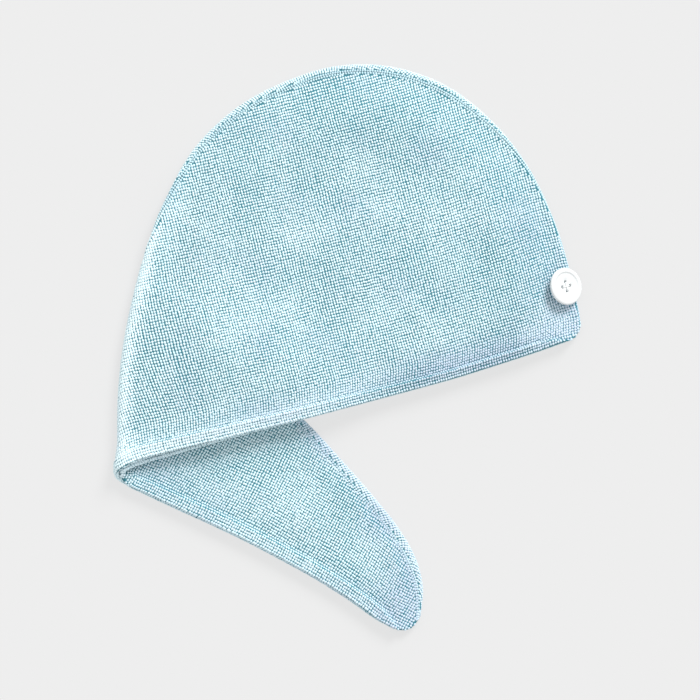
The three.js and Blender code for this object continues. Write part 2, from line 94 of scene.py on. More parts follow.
# slow unevenness between about -1 and 1 over points in mm, with features of the given size
def slowNoise(points, size, seed):
    random = np.random.default_rng(seed)
    total = 0
    for _ in range(waves["count"]):
        turn = random.uniform(0, math.tau)
        pace = math.tau / (size * random.uniform(waves["shortest"], waves["longest"]))
        wave = points[..., 0] * math.cos(turn) + points[..., 1] * math.sin(turn)
        total = total + np.sin(wave * pace + random.uniform(0, math.tau))
    return total / waves["calm"]


# distance of each point of a path from its start, along the path
def pathLengths(path):
    return np.concatenate([[0], np.cumsum(np.linalg.norm(np.diff(path, axis=0), axis=1))])


# values that go with a path's points, at a pitch along the path and clear of its ends by a margin
def atPitch(path, values, pitch, margin):
    lengths = pathLengths(path)
    marks = np.arange(margin, lengths[-1] - margin, pitch)
    return np.stack([np.interp(marks, lengths, column) for column in values.T], 1)


# sum over points of soft patches: u, v, radius along, radius across, turn in degrees, amount in the middle
def patchSum(points, patches):
    total = np.zeros(points.shape[:-1])
    for u, v, along, across, turn, amount in patches:
        cos, sin = math.cos(math.radians(turn)), math.sin(math.radians(turn))
        du, dv = points[..., 0] - u, points[..., 1] - v
        total += amount * np.exp(-((du * cos + dv * sin) / along) ** 2 - ((dv * cos - du * sin) / across) ** 2)
    return total


# ---- camera, light and floor

# the photo's view, straight down from far off; in metres, the sensor in mm
photo = {"distance": 10.0, "width": 0.56, "centreX": 0.002, "centreY": -0.002, "sensor": 36}
camera = bpy.data.objects.new("camera", bpy.data.cameras.new("camera"))
camera.data.sensor_width = photo["sensor"]
camera.data.lens = photo["sensor"] * photo["distance"] / photo["width"]
camera.data.clip_end = 30
camera.location = (photo["centreX"], photo["centreY"], photo["distance"])
bpy.context.collection.objects.link(camera)
bpy.context.scene.camera = camera

studio = {
    "skyLight": 0.8,  # even white light from all round
    "sunLight": 2.95,  # large soft lamp beyond the crown
    "sunHeight": 35,  # degrees over the floor
    "sunFrom": 60,  # degrees round from +X
    "sunSize": 24,
    "floorColour": "686868",
    "floorGlow": 0.67,  # light coming up through the white table, which keeps shadows faint
    "floorHalf": 6,
}
sky = bpy.data.worlds.new("even studio light")
sky.use_nodes = True
sky.node_tree.nodes["Background"].inputs["Color"].default_value = (1, 1, 1, 1)
sky.node_tree.nodes["Background"].inputs["Strength"].default_value = studio["skyLight"]
bpy.context.scene.world = sky
bpy.context.scene.view_settings.view_transform = "Standard"

lamp = bpy.data.objects.new("soft lamp", bpy.data.lights.new("soft lamp", "SUN"))
lamp.data.energy = studio["sunLight"]
lamp.data.angle = math.radians(studio["sunSize"])
sunTurn = math.radians(studio["sunFrom"])
sunLift = math.radians(studio["sunHeight"])
sunPlan = math.cos(sunLift)
sunSide = Vector((sunPlan * math.cos(sunTurn), sunPlan * math.sin(sunTurn), math.sin(sunLift)))
lamp.rotation_euler = sunSide.to_track_quat("Z", "Y").to_euler()
bpy.context.collection.objects.link(lamp)


def plainMesh(name, points, faces):
    mesh = bpy.data.meshes.new(name)
    mesh.from_pydata([tuple(point) for point in points], [], [tuple(face) for face in faces])
    mesh.update()
    return mesh


def addPiece(name, mesh, *materials):
    piece = bpy.data.objects.new(name, mesh)
    mesh.name = name
    mesh.materials.clear()
    for material in materials:
        mesh.materials.append(material)
    bpy.context.collection.objects.link(piece)
    return piece


# a material with the values of its shader, whose other inputs are linked afterwards
def newMaterial(name, surface):
    material = bpy.data.materials.new(name)
    material.use_nodes = True
    tree = material.node_tree
    tree.nodes.clear()
    shader = addNode(tree, "ShaderNodeBsdfPrincipled", surface)
    addNode(tree, "ShaderNodeOutputMaterial", links={"Surface": shader.outputs[0]})
    return material, tree, shader.inputs


# the colour of a look, its two tones mixed in soft patches, and the place that the patches follow
def softTones(tree, look):
    place = addNode(tree, "ShaderNodeTexCoord").outputs["Object"]
    patches = addNode(tree, "ShaderNodeTexNoise", {"Scale": 1 / (look["patch"] * mm), "Detail": look["detail"]},
                      {"Vector": place})
    tones = addNode(tree, "ShaderNodeMix", {"data_type": "RGBA", 6: linearColour(look["dark"]),
                                            7: linearColour(look["light"])}, {0: patches.outputs["Fac"]})
    return tones.outputs[2], place


# a material of two close tones
def mottledMaterial(name, look):
    material, tree, inputs = newMaterial(name, look["surface"])
    colour, place = softTones(tree, look)
    tree.links.new(colour, inputs["Base Color"])
    return material, tree, inputs, place


# Opal acrylic of a light table: matt, and lit from below, so the ground is even and shadows are faint.
floorPaint = newMaterial("matt opal acrylic", {
    "Base Color": linearColour(studio["floorColour"]), "Roughness": 1.0, "Specular IOR Level": 0.0,
    "Emission Color": (1, 1, 1, 1), "Emission Strength": studio["floorGlow"]})[0]
floorCorners = [(x * studio["floorHalf"], y * studio["floorHalf"], 0)
                for x, y in ((-1, -1), (1, -1), (1, 1), (-1, 1))]
addPiece("floor", plainMesh("floor", floorCorners, [(0, 1, 2, 3)]), floorPaint)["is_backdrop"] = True
print("camera, light and floor made")


# ---- the towel's pattern: u along the hem from the fold, v towards the crown

# in mm and degrees
towel = {
    "hoodLength": 390, "tailLength": 266, "crownHeight": 271, "layAngle": 15,
    "foldAngle": 68.6, "foldLength": 173, "foldBulge": 8, "bulgeReach": 75,
    # half thicknesses, the turned hem's width, and the air between layers
    "clothHalf": 1.2, "hemHalf": 2.1, "hemBand": 12, "hemStep": 3,
    "panelGap": 1.2, "foldInner": 0.8, "seamGap": 0.3, "edgeStrip": 8,
    # the hood's hollow and how soon it rises, its mouth, and the tail's fullness
    "arch": 12, "seamRise": 46, "foldRise": 95, "risePower": 2.2, "riseEase": 0.1,
    "mouthShare": 0.66, "mouthDepth": 60, "mouthCurl": 2, "tailPuff": 2.4, "tailPuffReach": 60,
    # how far the hood's free edge near the button bends down
    "freeCurl": 2.6, "curlStart": 165, "curlReach": 70, "curlWidth": 22,
    # how the layers settle beside the fold and over the tail
    "stackStart": 4, "stackReach": 26, "hemLiftReach": 25, "liftReach": 26, "liftMargin": 1, "upperLiftReach": 80,
    "waveHeight": 0.9, "waveLength": 118, "waveSkew": 0.5, "wavePhase": 1,
    "dentFade": 30, "tailDentStart": 2, "tailDentFade": 20, "endBow": 0.2,
}
# from the button corner to the tail's tip; U as shares of the hood's length, or of the tail's where negative,
# V as shares of the crown's height, roll and peek in mm, bow as a share of the station's length
stationColumns = ("hemU", "hemV", "seamU", "seamV", "roll", "peek", "bow")
stationRows = [
    (0.955, 0.038, 0.995, 0.078, 0, 0, 0.2),
    (0.918, 0.033, 1.0, 0.125, 0, 0, 0.03),
    (0.868, 0.028, 1.002, 0.195, 0, 0, 0),
    (0.8, 0.023, 1.003, 0.3, 0, 0, 0),
    (0.72, 0.018, 0.997, 0.415, 0, 0, 0),
    (0.635, 0.017, 0.976, 0.562, 1, 0, 0),
    (0.55, 0.017, 0.931, 0.715, 4, 0, 0),
    (0.465, 0.017, 0.855, 0.86, 5.8, 0, 0),
    (0.385, 0.018, 0.755, 0.956, 5.8, 0, 0),
    (0.305, 0.021, 0.65, 0.998, 5.8, 0.6, 0),
    (0.236, 0.023, 0.545, 0.994, 5.8, 1.2, 0),
    (0.173, 0.025, 0.43, 0.956, 5.6, 2.4, 0),
    (0.113, 0.026, 0.322, 0.87, 4.5, 3.6, 0),
    (0.056, 0.025, 0.246, 0.76, 2.5, 4, 0),
    (0.024, 0.0175, 0.2065, 0.69, 1, 3.2, 0),
    (0, 0, 0.164, 0.602, 0, 1, 0),
    (-0.034, -0.0145, 0.126, 0.535, -0.5, -0.6, 0),
    (-0.095, -0.014, 0.049, 0.487, -2, -1.4, 0),
    (-0.19, -0.01, -0.105, 0.452, -3.5, -1.5, 0),
    (-0.31, -0.003, -0.265, 0.432, -5, -1.2, 0),
    (-0.436, 0.002, -0.418, 0.399, -6, -1, 0),
    (-0.556, 0.002, -0.564, 0.349, -7, -1, 0),
    (-0.662, 0, -0.714, 0.293, -7.5, -1, 0),
    (-0.752, -0.006, -0.827, 0.243, -7.5, -1, 0),
    (-0.827, -0.014, -0.913, 0.187, -7, -0.8, 0),
    (-0.887, -0.022, -0.97, 0.121, -5, -0.4, 0.04),
    (-0.94, -0.022, -1.0, 0.045, -3, 0, 0.26),
]
table = {name: np.array([row[index] for row in stationRows], float) for index, name in enumerate(stationColumns)}
# how finely the panels are divided; shares are shares of the table
meshing = {"columnsPerStation": 9, "bendColumns": 22, "bendShare": 0.1, "tangentShare": 0.002,
           "endColumns": 5, "endShare": 0.0008, "endCloser": 1.5,
           "rimRows": 7, "clothRows": 58, "edgeRows": 22, "edgeCloser": 1.4}
tiny = 1e-12  # keeps a division from failing
foldCos = math.cos(math.radians(towel["foldAngle"]))
foldSin = math.sin(math.radians(towel["foldAngle"]))


def fromFold(points):
    return points[..., 0] * foldSin - points[..., 1] * foldCos


def alongFold(points):
    return points[..., 0] * foldCos + points[..., 1] * foldSin


def pointFromFold(away, along):
    return np.stack([away * foldSin + along * foldCos, -away * foldCos + along * foldSin], -1)


def mirrored(points):
    return pointFromFold(-fromFold(points), alongFold(points))


# a smooth centripetal curve through the points, at shares of its length in points
def curveAt(points, where):
    last = len(points) - 1
    place = np.clip(where, 0, 1) * last
    index = np.minimum(place.astype(int), last - 1)
    step = (place - index)[:, None]
    padded = np.vstack([2 * points[0] - points[1], points, 2 * points[-1] - points[-2]])
    p0, p1, p2, p3 = (padded[index + shift] for shift in range(4))
    d0, d1, d2 = (np.sqrt(np.linalg.norm(b - a, axis=1, keepdims=True))
                  for a, b in ((p0, p1), (p1, p2), (p2, p3)))
    m1 = ((p1 - p0) / d0 - (p2 - p0) / (d0 + d1) + (p2 - p1) / d1) * d1
    m2 = ((p2 - p1) / d1 - (p3 - p1) / (d1 + d2) + (p3 - p2) / d2) * d1
    return p1 + m1 * step + (3 * (p2 - p1) - 2 * m1 - m2) * step ** 2 + (2 * (p1 - p2) + m1 + m2) * step ** 3


def unit(vectors):
    return vectors / np.linalg.norm(vectors, axis=-1, keepdims=True)


def tablePoints(uName, vName):
    lengths = np.where(table[uName] > 0, towel["hoodLength"], towel["tailLength"])
    return np.stack([table[uName] * lengths, table[vName] * towel["crownHeight"]], -1)


# stations of the pattern at shares of the table
def stationsAt(where):
    seamPoints = tablePoints("seamU", "seamV")
    step = meshing["tangentShare"]
    along = unit(curveAt(seamPoints, where + step) - curveAt(seamPoints, where - step))
    hem = curveAt(tablePoints("hemU", "hemV"), where)
    seam = curveAt(seamPoints, where)
    ahead = unit(seam - hem)
    values = {name: np.interp(where * (len(stationRows) - 1), np.arange(len(stationRows)), table[name])
              for name in ("roll", "peek", "bow")}
    lean = np.minimum(values["bow"] / towel["endBow"], 1)[:, None]
    inward = unit(np.stack([-along[:, 1], along[:, 0]], -1) * (1 - lean) - ahead * lean)
    outward = np.stack([ahead[:, 1], -ahead[:, 0]], -1) * np.sign(seam[:, :1])
    return {"hem": hem, "seam": seam, "ahead": ahead, "reach": np.linalg.norm(seam - hem, axis=1),
            "outward": outward, "inward": inward, **values}


# shares of the table at which the panels have columns, closer round the bend and at the two ends
def columnPlaces():
    steps = len(stationRows) - 1
    places = []
    for step in range(steps):
        nearFold = abs(table["hemU"][step] + table["hemU"][step + 1]) < meshing["bendShare"]
        count = meshing["bendColumns"] if nearFold else meshing["columnsPerStation"]
        places.extend((step + index / count) / steps for index in range(count))
    shares = np.arange(1, meshing["endColumns"] + 1) / meshing["endColumns"]
    ends = list(meshing["endShare"] * shares ** meshing["endCloser"])
    return np.array(sorted(places + [1.0] + ends + [1 - end for end in ends]))


wherePlaces = columnPlaces()
stations = stationsAt(wherePlaces)
seamLine = stations["seam"]
hemLine = stations["hem"]
tailSide = fromFold(seamLine) <= 0
tailSeam = mirrored(seamLine[tailSide])
tailOutline = np.vstack([tailSeam, mirrored(hemLine[tailSide])[::-1]])


def distanceToPath(points, path):
    flat = points.reshape(-1, 2)
    nearest = np.full(len(flat), np.inf)
    for begin, side in zip(path[:-1], path[1:] - path[:-1]):
        share = np.clip((flat - begin) @ side / max(side @ side, tiny), 0, 1)
        nearest = np.minimum(nearest, np.hypot(*(flat - begin - share[:, None] * side).T))
    return nearest.reshape(points.shape[:-1])


def insideOutline(points, outline):
    flat = points.reshape(-1, 2)
    inside = np.zeros(len(flat), bool)
    for corner, following in zip(outline, np.roll(outline, -1, 0)):
        crosses = (corner[1] > flat[:, 1]) != (following[1] > flat[:, 1])
        rise = following[1] - corner[1] or tiny
        reached = corner[0] + (flat[:, 1] - corner[1]) / rise * (following[0] - corner[0])
        inside ^= crosses & (flat[:, 0] < reached)
    return inside.reshape(points.shape[:-1])


def clothHalf(fromHem):
    hem = 1 - smooth((fromHem - towel["hemBand"] + towel["hemStep"]) / towel["hemStep"])
    return towel["clothHalf"] + (towel["hemHalf"] - towel["clothHalf"]) * hem


# half thickness that the layers lie stacked with near the fold, where the hem's fullness runs out slowly
def stackHalf(fromHem):
    share = smooth((fromHem - towel["stackStart"]) / towel["stackReach"])
    return towel["clothHalf"] + (towel["hemHalf"] - towel["clothHalf"]) * (1 - share)


# that half thickness at the bend, and the cloth's own one away from it
def stackedHalf(spot, away):
    near = 1 - smooth((np.abs(away) - bendReach) / towel["hemLiftReach"])
    return spot["half"] + (stackHalf(spot["fromHem"]) - spot["half"]) * near, near


noseRadius = towel["clothHalf"] + towel["panelGap"] / 2
nosePath = math.pi / 2 * noseRadius
edgeInset = noseRadius + towel["clothHalf"]
stripPath = nosePath + towel["edgeStrip"] - edgeInset


def upperBend(half):
    return towel["foldInner"] + 3 * half + towel["panelGap"]


bendReach = upperBend(towel["clothHalf"]) + towel["clothHalf"]


def tailLift(half):
    return 4 * half + towel["panelGap"] + 2 * towel["foldInner"]


def riseTo(distance, reach):
    share = np.clip(distance / reach, 0, 1)
    eased = share * share * (1 + towel["riseEase"]) / (share + towel["riseEase"])
    return 1 - (1 - eased) ** towel["risePower"]


# soft dents and swells of the hood's top and of the tail, as patches with heights in mm
hoodDents = [(268, 143, 60, 9, -9, 0.8), (265, 64, 36, 8, -64, 0.7), (322, 92, 16, 32, 0, -0.8),
             (150, 150, 40, 12, 30, 0.6), (180, 75, 30, 14, 10, -0.6)]
tailDents = [(125, -63, 60, 14, -42, 0.9), (165, -80, 16, 30, -42, -0.6)]


# heights of the middle of one panel's cloth in the hood
def hoodHeights(spot, side):
    pastBend = np.maximum(fromFold(spot["at"]) - bendReach, 0)
    half, near = stackedHalf(spot, fromFold(spot["at"]))
    under = towel["clothHalf"] + (half - towel["clothHalf"]) * near
    outside = np.minimum(distanceToPath(spot["at"], tailSeam), pastBend)
    outside = np.where(insideOutline(spot["at"], tailOutline), 0, outside)
    lift = tailLift(under) * (1 - smooth((outside - towel["liftMargin"]) / towel["liftReach"]))
    if side == "lower":
        return lift + half
    wideLift = tailLift(under) * (1 - smooth(outside / towel["upperLiftReach"]))
    seamRise = riseTo(spot["fromSeam"] - towel["edgeStrip"], towel["seamRise"])
    full = seamRise * riseTo(pastBend, towel["foldRise"])
    mouth = towel["mouthShare"] + (1 - towel["mouthShare"]) * smooth(spot["fromHem"] / towel["mouthDepth"])
    curl = towel["mouthCurl"] * full * (1 - smooth(spot["fromHem"] / towel["hemBand"]))
    free = smooth((spot["at"][..., 0] - towel["curlStart"]) / towel["curlReach"])
    curl += towel["freeCurl"] * full * free * (1 - smooth(spot["fromHem"] / towel["curlWidth"]))
    pace = math.tau / towel["waveLength"]
    u, v = spot["at"][..., 0], spot["at"][..., 1]
    wave = np.sin(u * pace + towel["wavePhase"]) * np.cos((v - u * towel["waveSkew"]) * pace)
    dents = patchSum(spot["at"], hoodDents)
    dents *= smooth(spot["fromSeam"] / towel["dentFade"]) * smooth(pastBend / towel["dentFade"])
    return (lift + (wideLift - lift) * seamRise + 3 * half + towel["panelGap"]
            + full * (towel["arch"] * mouth + towel["waveHeight"] * wave) - curl + dents)


def tailHeights(spot, side):
    half = stackedHalf(spot, fromFold(spot["at"]))[0]
    if side == "upper":
        return half
    folded = pointFromFold(np.abs(fromFold(spot["at"])), alongFold(spot["at"]))
    pastHood = smooth((-folded[..., 1] - towel["hemBand"]) / towel["tailPuffReach"])
    pastSeam = smooth((spot["fromSeam"] - towel["edgeStrip"]) / towel["edgeStrip"])
    pastHem = smooth(spot["fromHem"] / (2 * towel["hemBand"]))
    clear = smooth((-folded[..., 1] - towel["tailDentStart"]) / towel["tailDentFade"])
    full = towel["tailPuff"] * pastHood + patchSum(folded, tailDents) * clear
    return 3 * half + towel["panelGap"] + full * pastSeam * pastHem


def onFloor(away, along):
    bulge = towel["foldBulge"] * np.sin(math.pi * np.clip(along / towel["foldLength"], 0, 1))
    return pointFromFold(away - bulge * (1 - smooth(away / towel["bulgeReach"])), along)


# places points of a panel, offset from the middle of its cloth and shifted in plan
def placed(spot, side, offset, shift=0.0):
    at = spot["at"] + shift
    away = fromFold(at)
    half = stackHalf(spot["fromHem"])
    middle = upperBend(half) if side == "upper" else towel["foldInner"] + half
    turn = (bendReach - away) / (2 * bendReach) * math.pi
    radius = middle + offset
    bent = np.abs(away) < bendReach
    reach = np.where(bent, bendReach - radius * np.sin(turn), np.abs(away))
    height = np.where(away > 0, hoodHeights(spot, side) + offset, tailHeights(spot, side) - offset)
    height = np.where(bent, half + upperBend(half) + radius * np.cos(turn), height)
    plan = onFloor(reach, alongFold(at))
    return np.concatenate([plan, height[..., None]], -1)


def bowed(points):
    hem, ahead = stations["hem"][:, None], stations["ahead"][:, None]
    reach = stations["reach"][:, None]
    share = np.clip(((points - hem) * ahead).sum(-1) / reach, 0, 1)
    out = stations["bow"][:, None] * reach * 4 * share * (1 - share)
    return points + stations["outward"][:, None] * out[..., None]


# Round the fold the upper panel's outer face is longer than the pattern, and the lower panel's is shorter.
# Points of the pattern are moved apart or together to make up for it.
def spread(points, fromHem, offset, side):
    half = stackHalf(fromHem)
    radius = (upperBend(half) if side == "upper" else towel["foldInner"] + half) + offset
    away = fromFold(points)
    bent = np.minimum(np.abs(away) / bendReach, 1) * radius * math.pi / 2
    return pointFromFold(np.sign(away) * (np.maximum(np.abs(away) - bendReach, 0) + bent), alongFold(points))


cloth = {
    "pile": 0.45,  # how far the loops' ground lies below the cloth's full thickness
    "rimRound": 1.9,  # how far the turned hem's edge is rounded
    "rimNotch": 0.8,  # furrow along the edge between the hem's two layers
    "rimNotchShare": 0.2,  # half width of that furrow, as a share of the hem's half thickness
    "seamRow": 0.7,  # from the panel's end at the seam to the middle of the row of loops along it
    "seamNear": 0.3,  # from the middle of the seam to the panel's end
    "noSeam": 99.0,  # stands for a place that is far from the seam
    "bandRows": 15,
    "turnMargin": 0.5,  # how much narrower than its band the hem's turned layer is
    "stitchRow": 10.6,  # from the hem to the row of stitches
    "stitchDip": 0.55,  # how far the stitches pull the cloth in
    "stitchDipWidth": 0.9,
    "stitchBand": 9,  # the narrowest band that the stitches pull in
    "endRound": 1.3,  # rounding of the panels' ends at the seam
    "leastEnd": 0.02,  # squares of the least shares of its thickness that the cloth runs out to
    "leastEdge": 0.05,
}


# the points at which a rising value along each column passes a level
def lineAcross(values, points, level):
    return np.stack([[np.interp(level, column, line[:, axis]) for axis in range(2)]
                     for column, line in zip(values, points)])


# the share of its thickness that the cloth keeps at a distance from its rounded end
def roundEnd(distance, least):
    return np.sqrt(np.clip(1 - (1 - np.minimum(distance / cloth["endRound"], 1)) ** 2, least, 1))


# the grids of one panel: places outside and inside, and the same points on the cloth laid flat
def panelGrid(side):
    toSeam = 1 if side == "upper" else -1
    peek = 0 if side == "upper" else stations["peek"][:, None]
    start = stations["hem"] - stations["ahead"] * peek
    run = stations["seam"] + stations["inward"] * towel["edgeStrip"] - start
    runLength = np.linalg.norm(run, axis=1)
    ahead = run / runLength[:, None]
    band = np.minimum(towel["hemBand"], stations["reach"] / 4)
    rim = (np.arange(meshing["rimRows"]) + 0.5) / meshing["rimRows"] * math.pi / 2
    notch = cloth["rimNotch"] * np.exp(-(np.sin(rim) / cloth["rimNotchShare"]) ** 2)
    rimDistance = cloth["rimRound"] * (1 - np.cos(rim)) + notch
    bandShares = np.linspace(cloth["rimRound"] / towel["hemBand"], 1, cloth["bandRows"])
    clothShares = np.linspace(0, 1, meshing["clothRows"] + 1)[1:]
    inner = band[:, None] + clothShares * (runLength - band)[:, None]
    distance = np.hstack([np.tile(rimDistance, (len(band), 1)), bandShares * band[:, None], inner])
    fromHem = np.hstack([np.tile(rimDistance, (len(band), 1)),
                         np.tile(bandShares * towel["hemBand"], (len(band), 1)),
                         np.maximum(inner, towel["hemBand"])])
    at = bowed(start[:, None] + ahead[:, None] * distance[..., None])
    half = clothHalf(fromHem)
    spot = {"at": at, "half": half, "fromHem": fromHem,
            "fromSeam": np.maximum(distanceToPath(at, seamLine), towel["edgeStrip"])}
    rowCount = distance.shape[1]
    share = np.ones(rowCount)
    share[:meshing["rimRows"]] = np.sin(rim)
    ends = roundEnd(endDistance, cloth["leastEnd"])[:, None]
    dip = cloth["stitchDip"] * np.exp(-((fromHem - cloth["stitchRow"]) / cloth["stitchDipWidth"]) ** 2)
    dip *= (band > cloth["stitchBand"])[:, None]
    outer = [placed(spot, side, toSeam * (half - cloth["pile"] - dip) * share * ends)]
    innerSide = [placed(spot, side, -toSeam * (half - cloth["pile"] / 2 - dip) * share * ends)]

    # the same points on the cloth laid flat, where it goes on round the rim and back inside the hem
    bend = (cloth["rimRound"] + towel["hemHalf"]) / 2
    flatOut, flatBack = distance.copy(), cloth["rimRound"] * 2 - bend * math.pi - distance
    flatOut[:, :meshing["rimRows"]] = cloth["rimRound"] - bend * (math.pi / 2 - rim)
    flatBack[:, :meshing["rimRows"]] = cloth["rimRound"] - bend * (math.pi / 2 + rim)
    flatOuter = [bowed(start[:, None] + ahead[:, None] * flatOut[..., None])]
    innerFlat = bowed(start[:, None] + ahead[:, None] * flatBack[..., None])

    # the rolled edge along the seam
    steps = 1 - (1 - np.linspace(0, 1, meshing["edgeRows"])) ** meshing["edgeCloser"]
    begin = toSeam * stripPath
    end = stations["roll"][:, None] + toSeam * towel["seamGap"] / 2
    path = begin + (end - begin) * steps[1:]
    rolled = np.clip(path, -nosePath, nosePath)
    turn = rolled / noseRadius
    inset = edgeInset - noseRadius * np.cos(turn) + np.abs(path - rolled)
    edgeAt = bowed(stations["seam"][:, None] + stations["inward"][:, None] * inset[..., None])
    leftOver = np.abs(end - path)
    endShare = roundEnd(leftOver, cloth["leastEdge"])
    edgeSpot = {"at": edgeAt, "half": np.full(path.shape, float(towel["clothHalf"])),
                "fromSeam": np.zeros(path.shape),
                "fromHem": np.linalg.norm(edgeAt - stations["hem"][:, None], axis=-1)}

    def edgePlaces(offset):
        shift = stations["inward"][:, None] * (-np.cos(turn) * offset)[..., None]
        return placed(edgeSpot, "lower", noseRadius + noseRadius * np.sin(turn) + np.sin(turn) * offset, shift)

    outer.append(edgePlaces((towel["clothHalf"] - cloth["pile"]) * endShare * ends))
    innerSide.append(edgePlaces(-(towel["clothHalf"] - cloth["pile"] / 2) * endShare * ends))
    stretch = (noseRadius + towel["clothHalf"]) / noseRadius
    ownSide = toSeam * path
    unrolled = np.where(ownSide > nosePath, edgeInset + ownSide - nosePath,
                        np.where(ownSide > -nosePath, edgeInset - (nosePath - ownSide) * stretch,
                                 edgeInset - 2 * nosePath * stretch - (-ownSide - nosePath)))
    flatOuter.append(bowed(stations["seam"][:, None] + stations["inward"][:, None] * unrolled[..., None]))
    flat = spread(np.concatenate(flatOuter, 1), np.concatenate([fromHem, edgeSpot["fromHem"]], 1),
                  np.concatenate([toSeam * half * share,
                                  np.full(path.shape, toSeam * towel["clothHalf"])], 1), side)
    back = spread(innerFlat, fromHem, -toSeam * half * share, side)
    turned = int((fromHem[0] < towel["hemBand"] - cloth["turnMargin"]).sum())
    # the furrow between the two layers of the hem's edge, and the outer face's distance to the seam
    furrow = cloth["rimRound"] - bend * math.pi / 2
    laid = np.concatenate([back[:, :turned][:, ::-1], flat], 1)
    fromEdge = np.concatenate([flatBack[:, :turned][:, ::-1], flatOut], 1) - furrow
    groove = np.concatenate([np.full(fromEdge.shape, cloth["noSeam"]), leftOver + cloth["seamNear"]], 1)
    return {
        "outer": np.concatenate(outer, 1), "inner": np.concatenate(innerSide, 1), "turned": turned,
        "flat": laid, "groove": groove,
        "pattern": np.concatenate([at[:, :turned][:, ::-1], at, edgeAt], 1),
        "seamRow": lineAcross(-leftOver, flat[:, rowCount:], -cloth["seamRow"]),
        "furrow": lineAcross(fromEdge, laid[:, :fromEdge.shape[1]], 0),
    }


# distance of each column from the nearer rounded end, in mm along the seam
seamSteps = pathLengths(seamLine)
endDistance = np.minimum(seamSteps, seamSteps[-1] - seamSteps)


# from the pattern's frame in mm to the way that the towel lies, in metres
def inFrame(points):
    cos, sin = math.cos(math.radians(towel["layAngle"])), math.sin(math.radians(towel["layAngle"]))
    x = points[..., 0] * cos - points[..., 1] * sin
    y = points[..., 0] * sin + points[..., 1] * cos
    return np.stack([x, y, points[..., 2]], -1) * mm


grids = {side: panelGrid(side) for side in ("upper", "lower")}
for grid in grids.values():
    grid["outer"], grid["inner"] = inFrame(grid["outer"]), inFrame(grid["inner"])
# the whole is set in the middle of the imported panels
everyPoint = np.concatenate([grid["outer"].reshape(-1, 3) for grid in grids.values()])
boxes = np.array([[list(corner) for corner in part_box(name)] for name in ("upper_panel", "lower_panel")])
home = (boxes[:, 0].min(0) + boxes[:, 1].max(0)) / 2 - (everyPoint.min(0) + everyPoint.max(0)) / 2
home[2] = 0
for grid in grids.values():
    grid["outer"] += home
    grid["inner"] += home
print("pattern laid out", home)


mapUnit = 100  # mm of cloth to one unit of its UV map


# a closed shell from a panel's grids, with the flat places as its UV map
def shellMesh(name, grid):
    columns, rows = grid["outer"].shape[:2]
    points = np.concatenate([grid["outer"], grid["inner"]], 1).reshape(-1, 3)
    index = np.arange(columns * 2 * rows).reshape(columns, 2 * rows)
    out, back = index[:, :rows], index[:, rows:]

    def quads(a):
        return np.stack([a[:-1, :-1], a[:-1, 1:], a[1:, 1:], a[1:, :-1]], -1).reshape(-1, 4)

    faces = [quads(out), quads(back)[:, ::-1],
             quads(np.stack([back[:, 0], out[:, 0]], 1)), quads(np.stack([out[:, -1], back[:, -1]], 1)),
             quads(np.stack([back[0], out[0]], 0).T)[:, ::-1],
             quads(np.stack([out[-1], back[-1]], 0).T)[:, ::-1]]
    faces = np.concatenate(faces)
    a, b, c, d = (points[faces[:, k]] for k in range(4))
    volume = (np.cross(a, b) * c).sum() + (np.cross(a, c) * d).sum()
    if volume < 0:
        faces = faces[:, ::-1]
    mesh = plainMesh(name, points, faces)
    mesh.shade_smooth()
    flat = grid["flat"][:, grid["turned"]:]
    flat = np.concatenate([flat, flat], 1).reshape(-1, 2) / mapUnit
    corners = np.empty(len(mesh.loops), np.int32)
    mesh.loops.foreach_get("vertex_index", corners)
    mesh.uv_layers.new(name="cloth").uv.foreach_set("vector", flat[corners].ravel())
    slots = np.zeros(len(faces), np.int32)
    isInner = (faces % (2 * rows) >= rows).all(1)
    rowOf = (faces % (2 * rows) - rows).max(1)
    slots[isInner & (rowOf >= grid["turned"])] = 1
    mesh.polygons.foreach_set("material_index", slots)
    return mesh


# ---- cloth materials

# Knitted microfibre terry: fine polyester loops stand close on a knitted ground of the same yarn, coloured darker as
# painted shade. The filaments scatter light softly with a faint velvety sheen at grazing angles and no clear gloss.
pileLook = {
    "light": "e8fbff", "dark": "dcf3f9", "patch": 30, "detail": 2.0, "lavenderShade": "cad6e8",
    # heights in a loop at which its painted-shade flank ends and its tip starts
    "flankShade": "70aebd", "flankEnd": 0.1, "tipStart": 0.88,
    "surface": {"Roughness": 0.85, "IOR": 1.5, "Specular IOR Level": 0.3,
                "Sheen Weight": 0.25, "Sheen Roughness": 0.5},
}
terryLoops, tree, inputs = newMaterial("microfibre terry loops", pileLook["surface"])
mixed = softTones(tree, pileLook)[0]
lavenderShade, tip, shadeAndSheen = (addNode(tree, "ShaderNodeAttribute", {"attribute_name": name}).outputs["Fac"]
                   for name in ("lavenderShade", "tip", "shadeAndSheen"))
# painted shade: the loops' colour is mixed towards a darker lavender in patches and along the tail's edges
mixed = addNode(tree, "ShaderNodeMix", {"data_type": "RGBA", 7: linearColour(pileLook["lavenderShade"])},
                {0: lavenderShade, 6: mixed})
# painted shade: a loop's flanks, and whole loops down in the seam's groove, take a darker teal for the shade inside
# the pile; below 0 the flanks take the tip's colour instead, as painted sheen
lit = addNode(tree, "ShaderNodeMapRange", {"interpolation_type": "SMOOTHSTEP", 1: pileLook["flankEnd"],
                                           2: pileLook["tipStart"]}, {0: tip})
raised = addNode(tree, "ShaderNodeMath", {"operation": "SUBTRACT", 0: 1.0}, {1: shadeAndSheen})
lit = addNode(tree, "ShaderNodeMath", {"operation": "MULTIPLY"}, {0: lit.outputs[0], 1: raised.outputs[0]})
mixed = addNode(tree, "ShaderNodeMix", {"data_type": "RGBA", 6: linearColour(pileLook["flankShade"])},
                {0: lit.outputs[0], 7: mixed.outputs[2]})
tree.links.new(mixed.outputs[2], inputs["Base Color"])

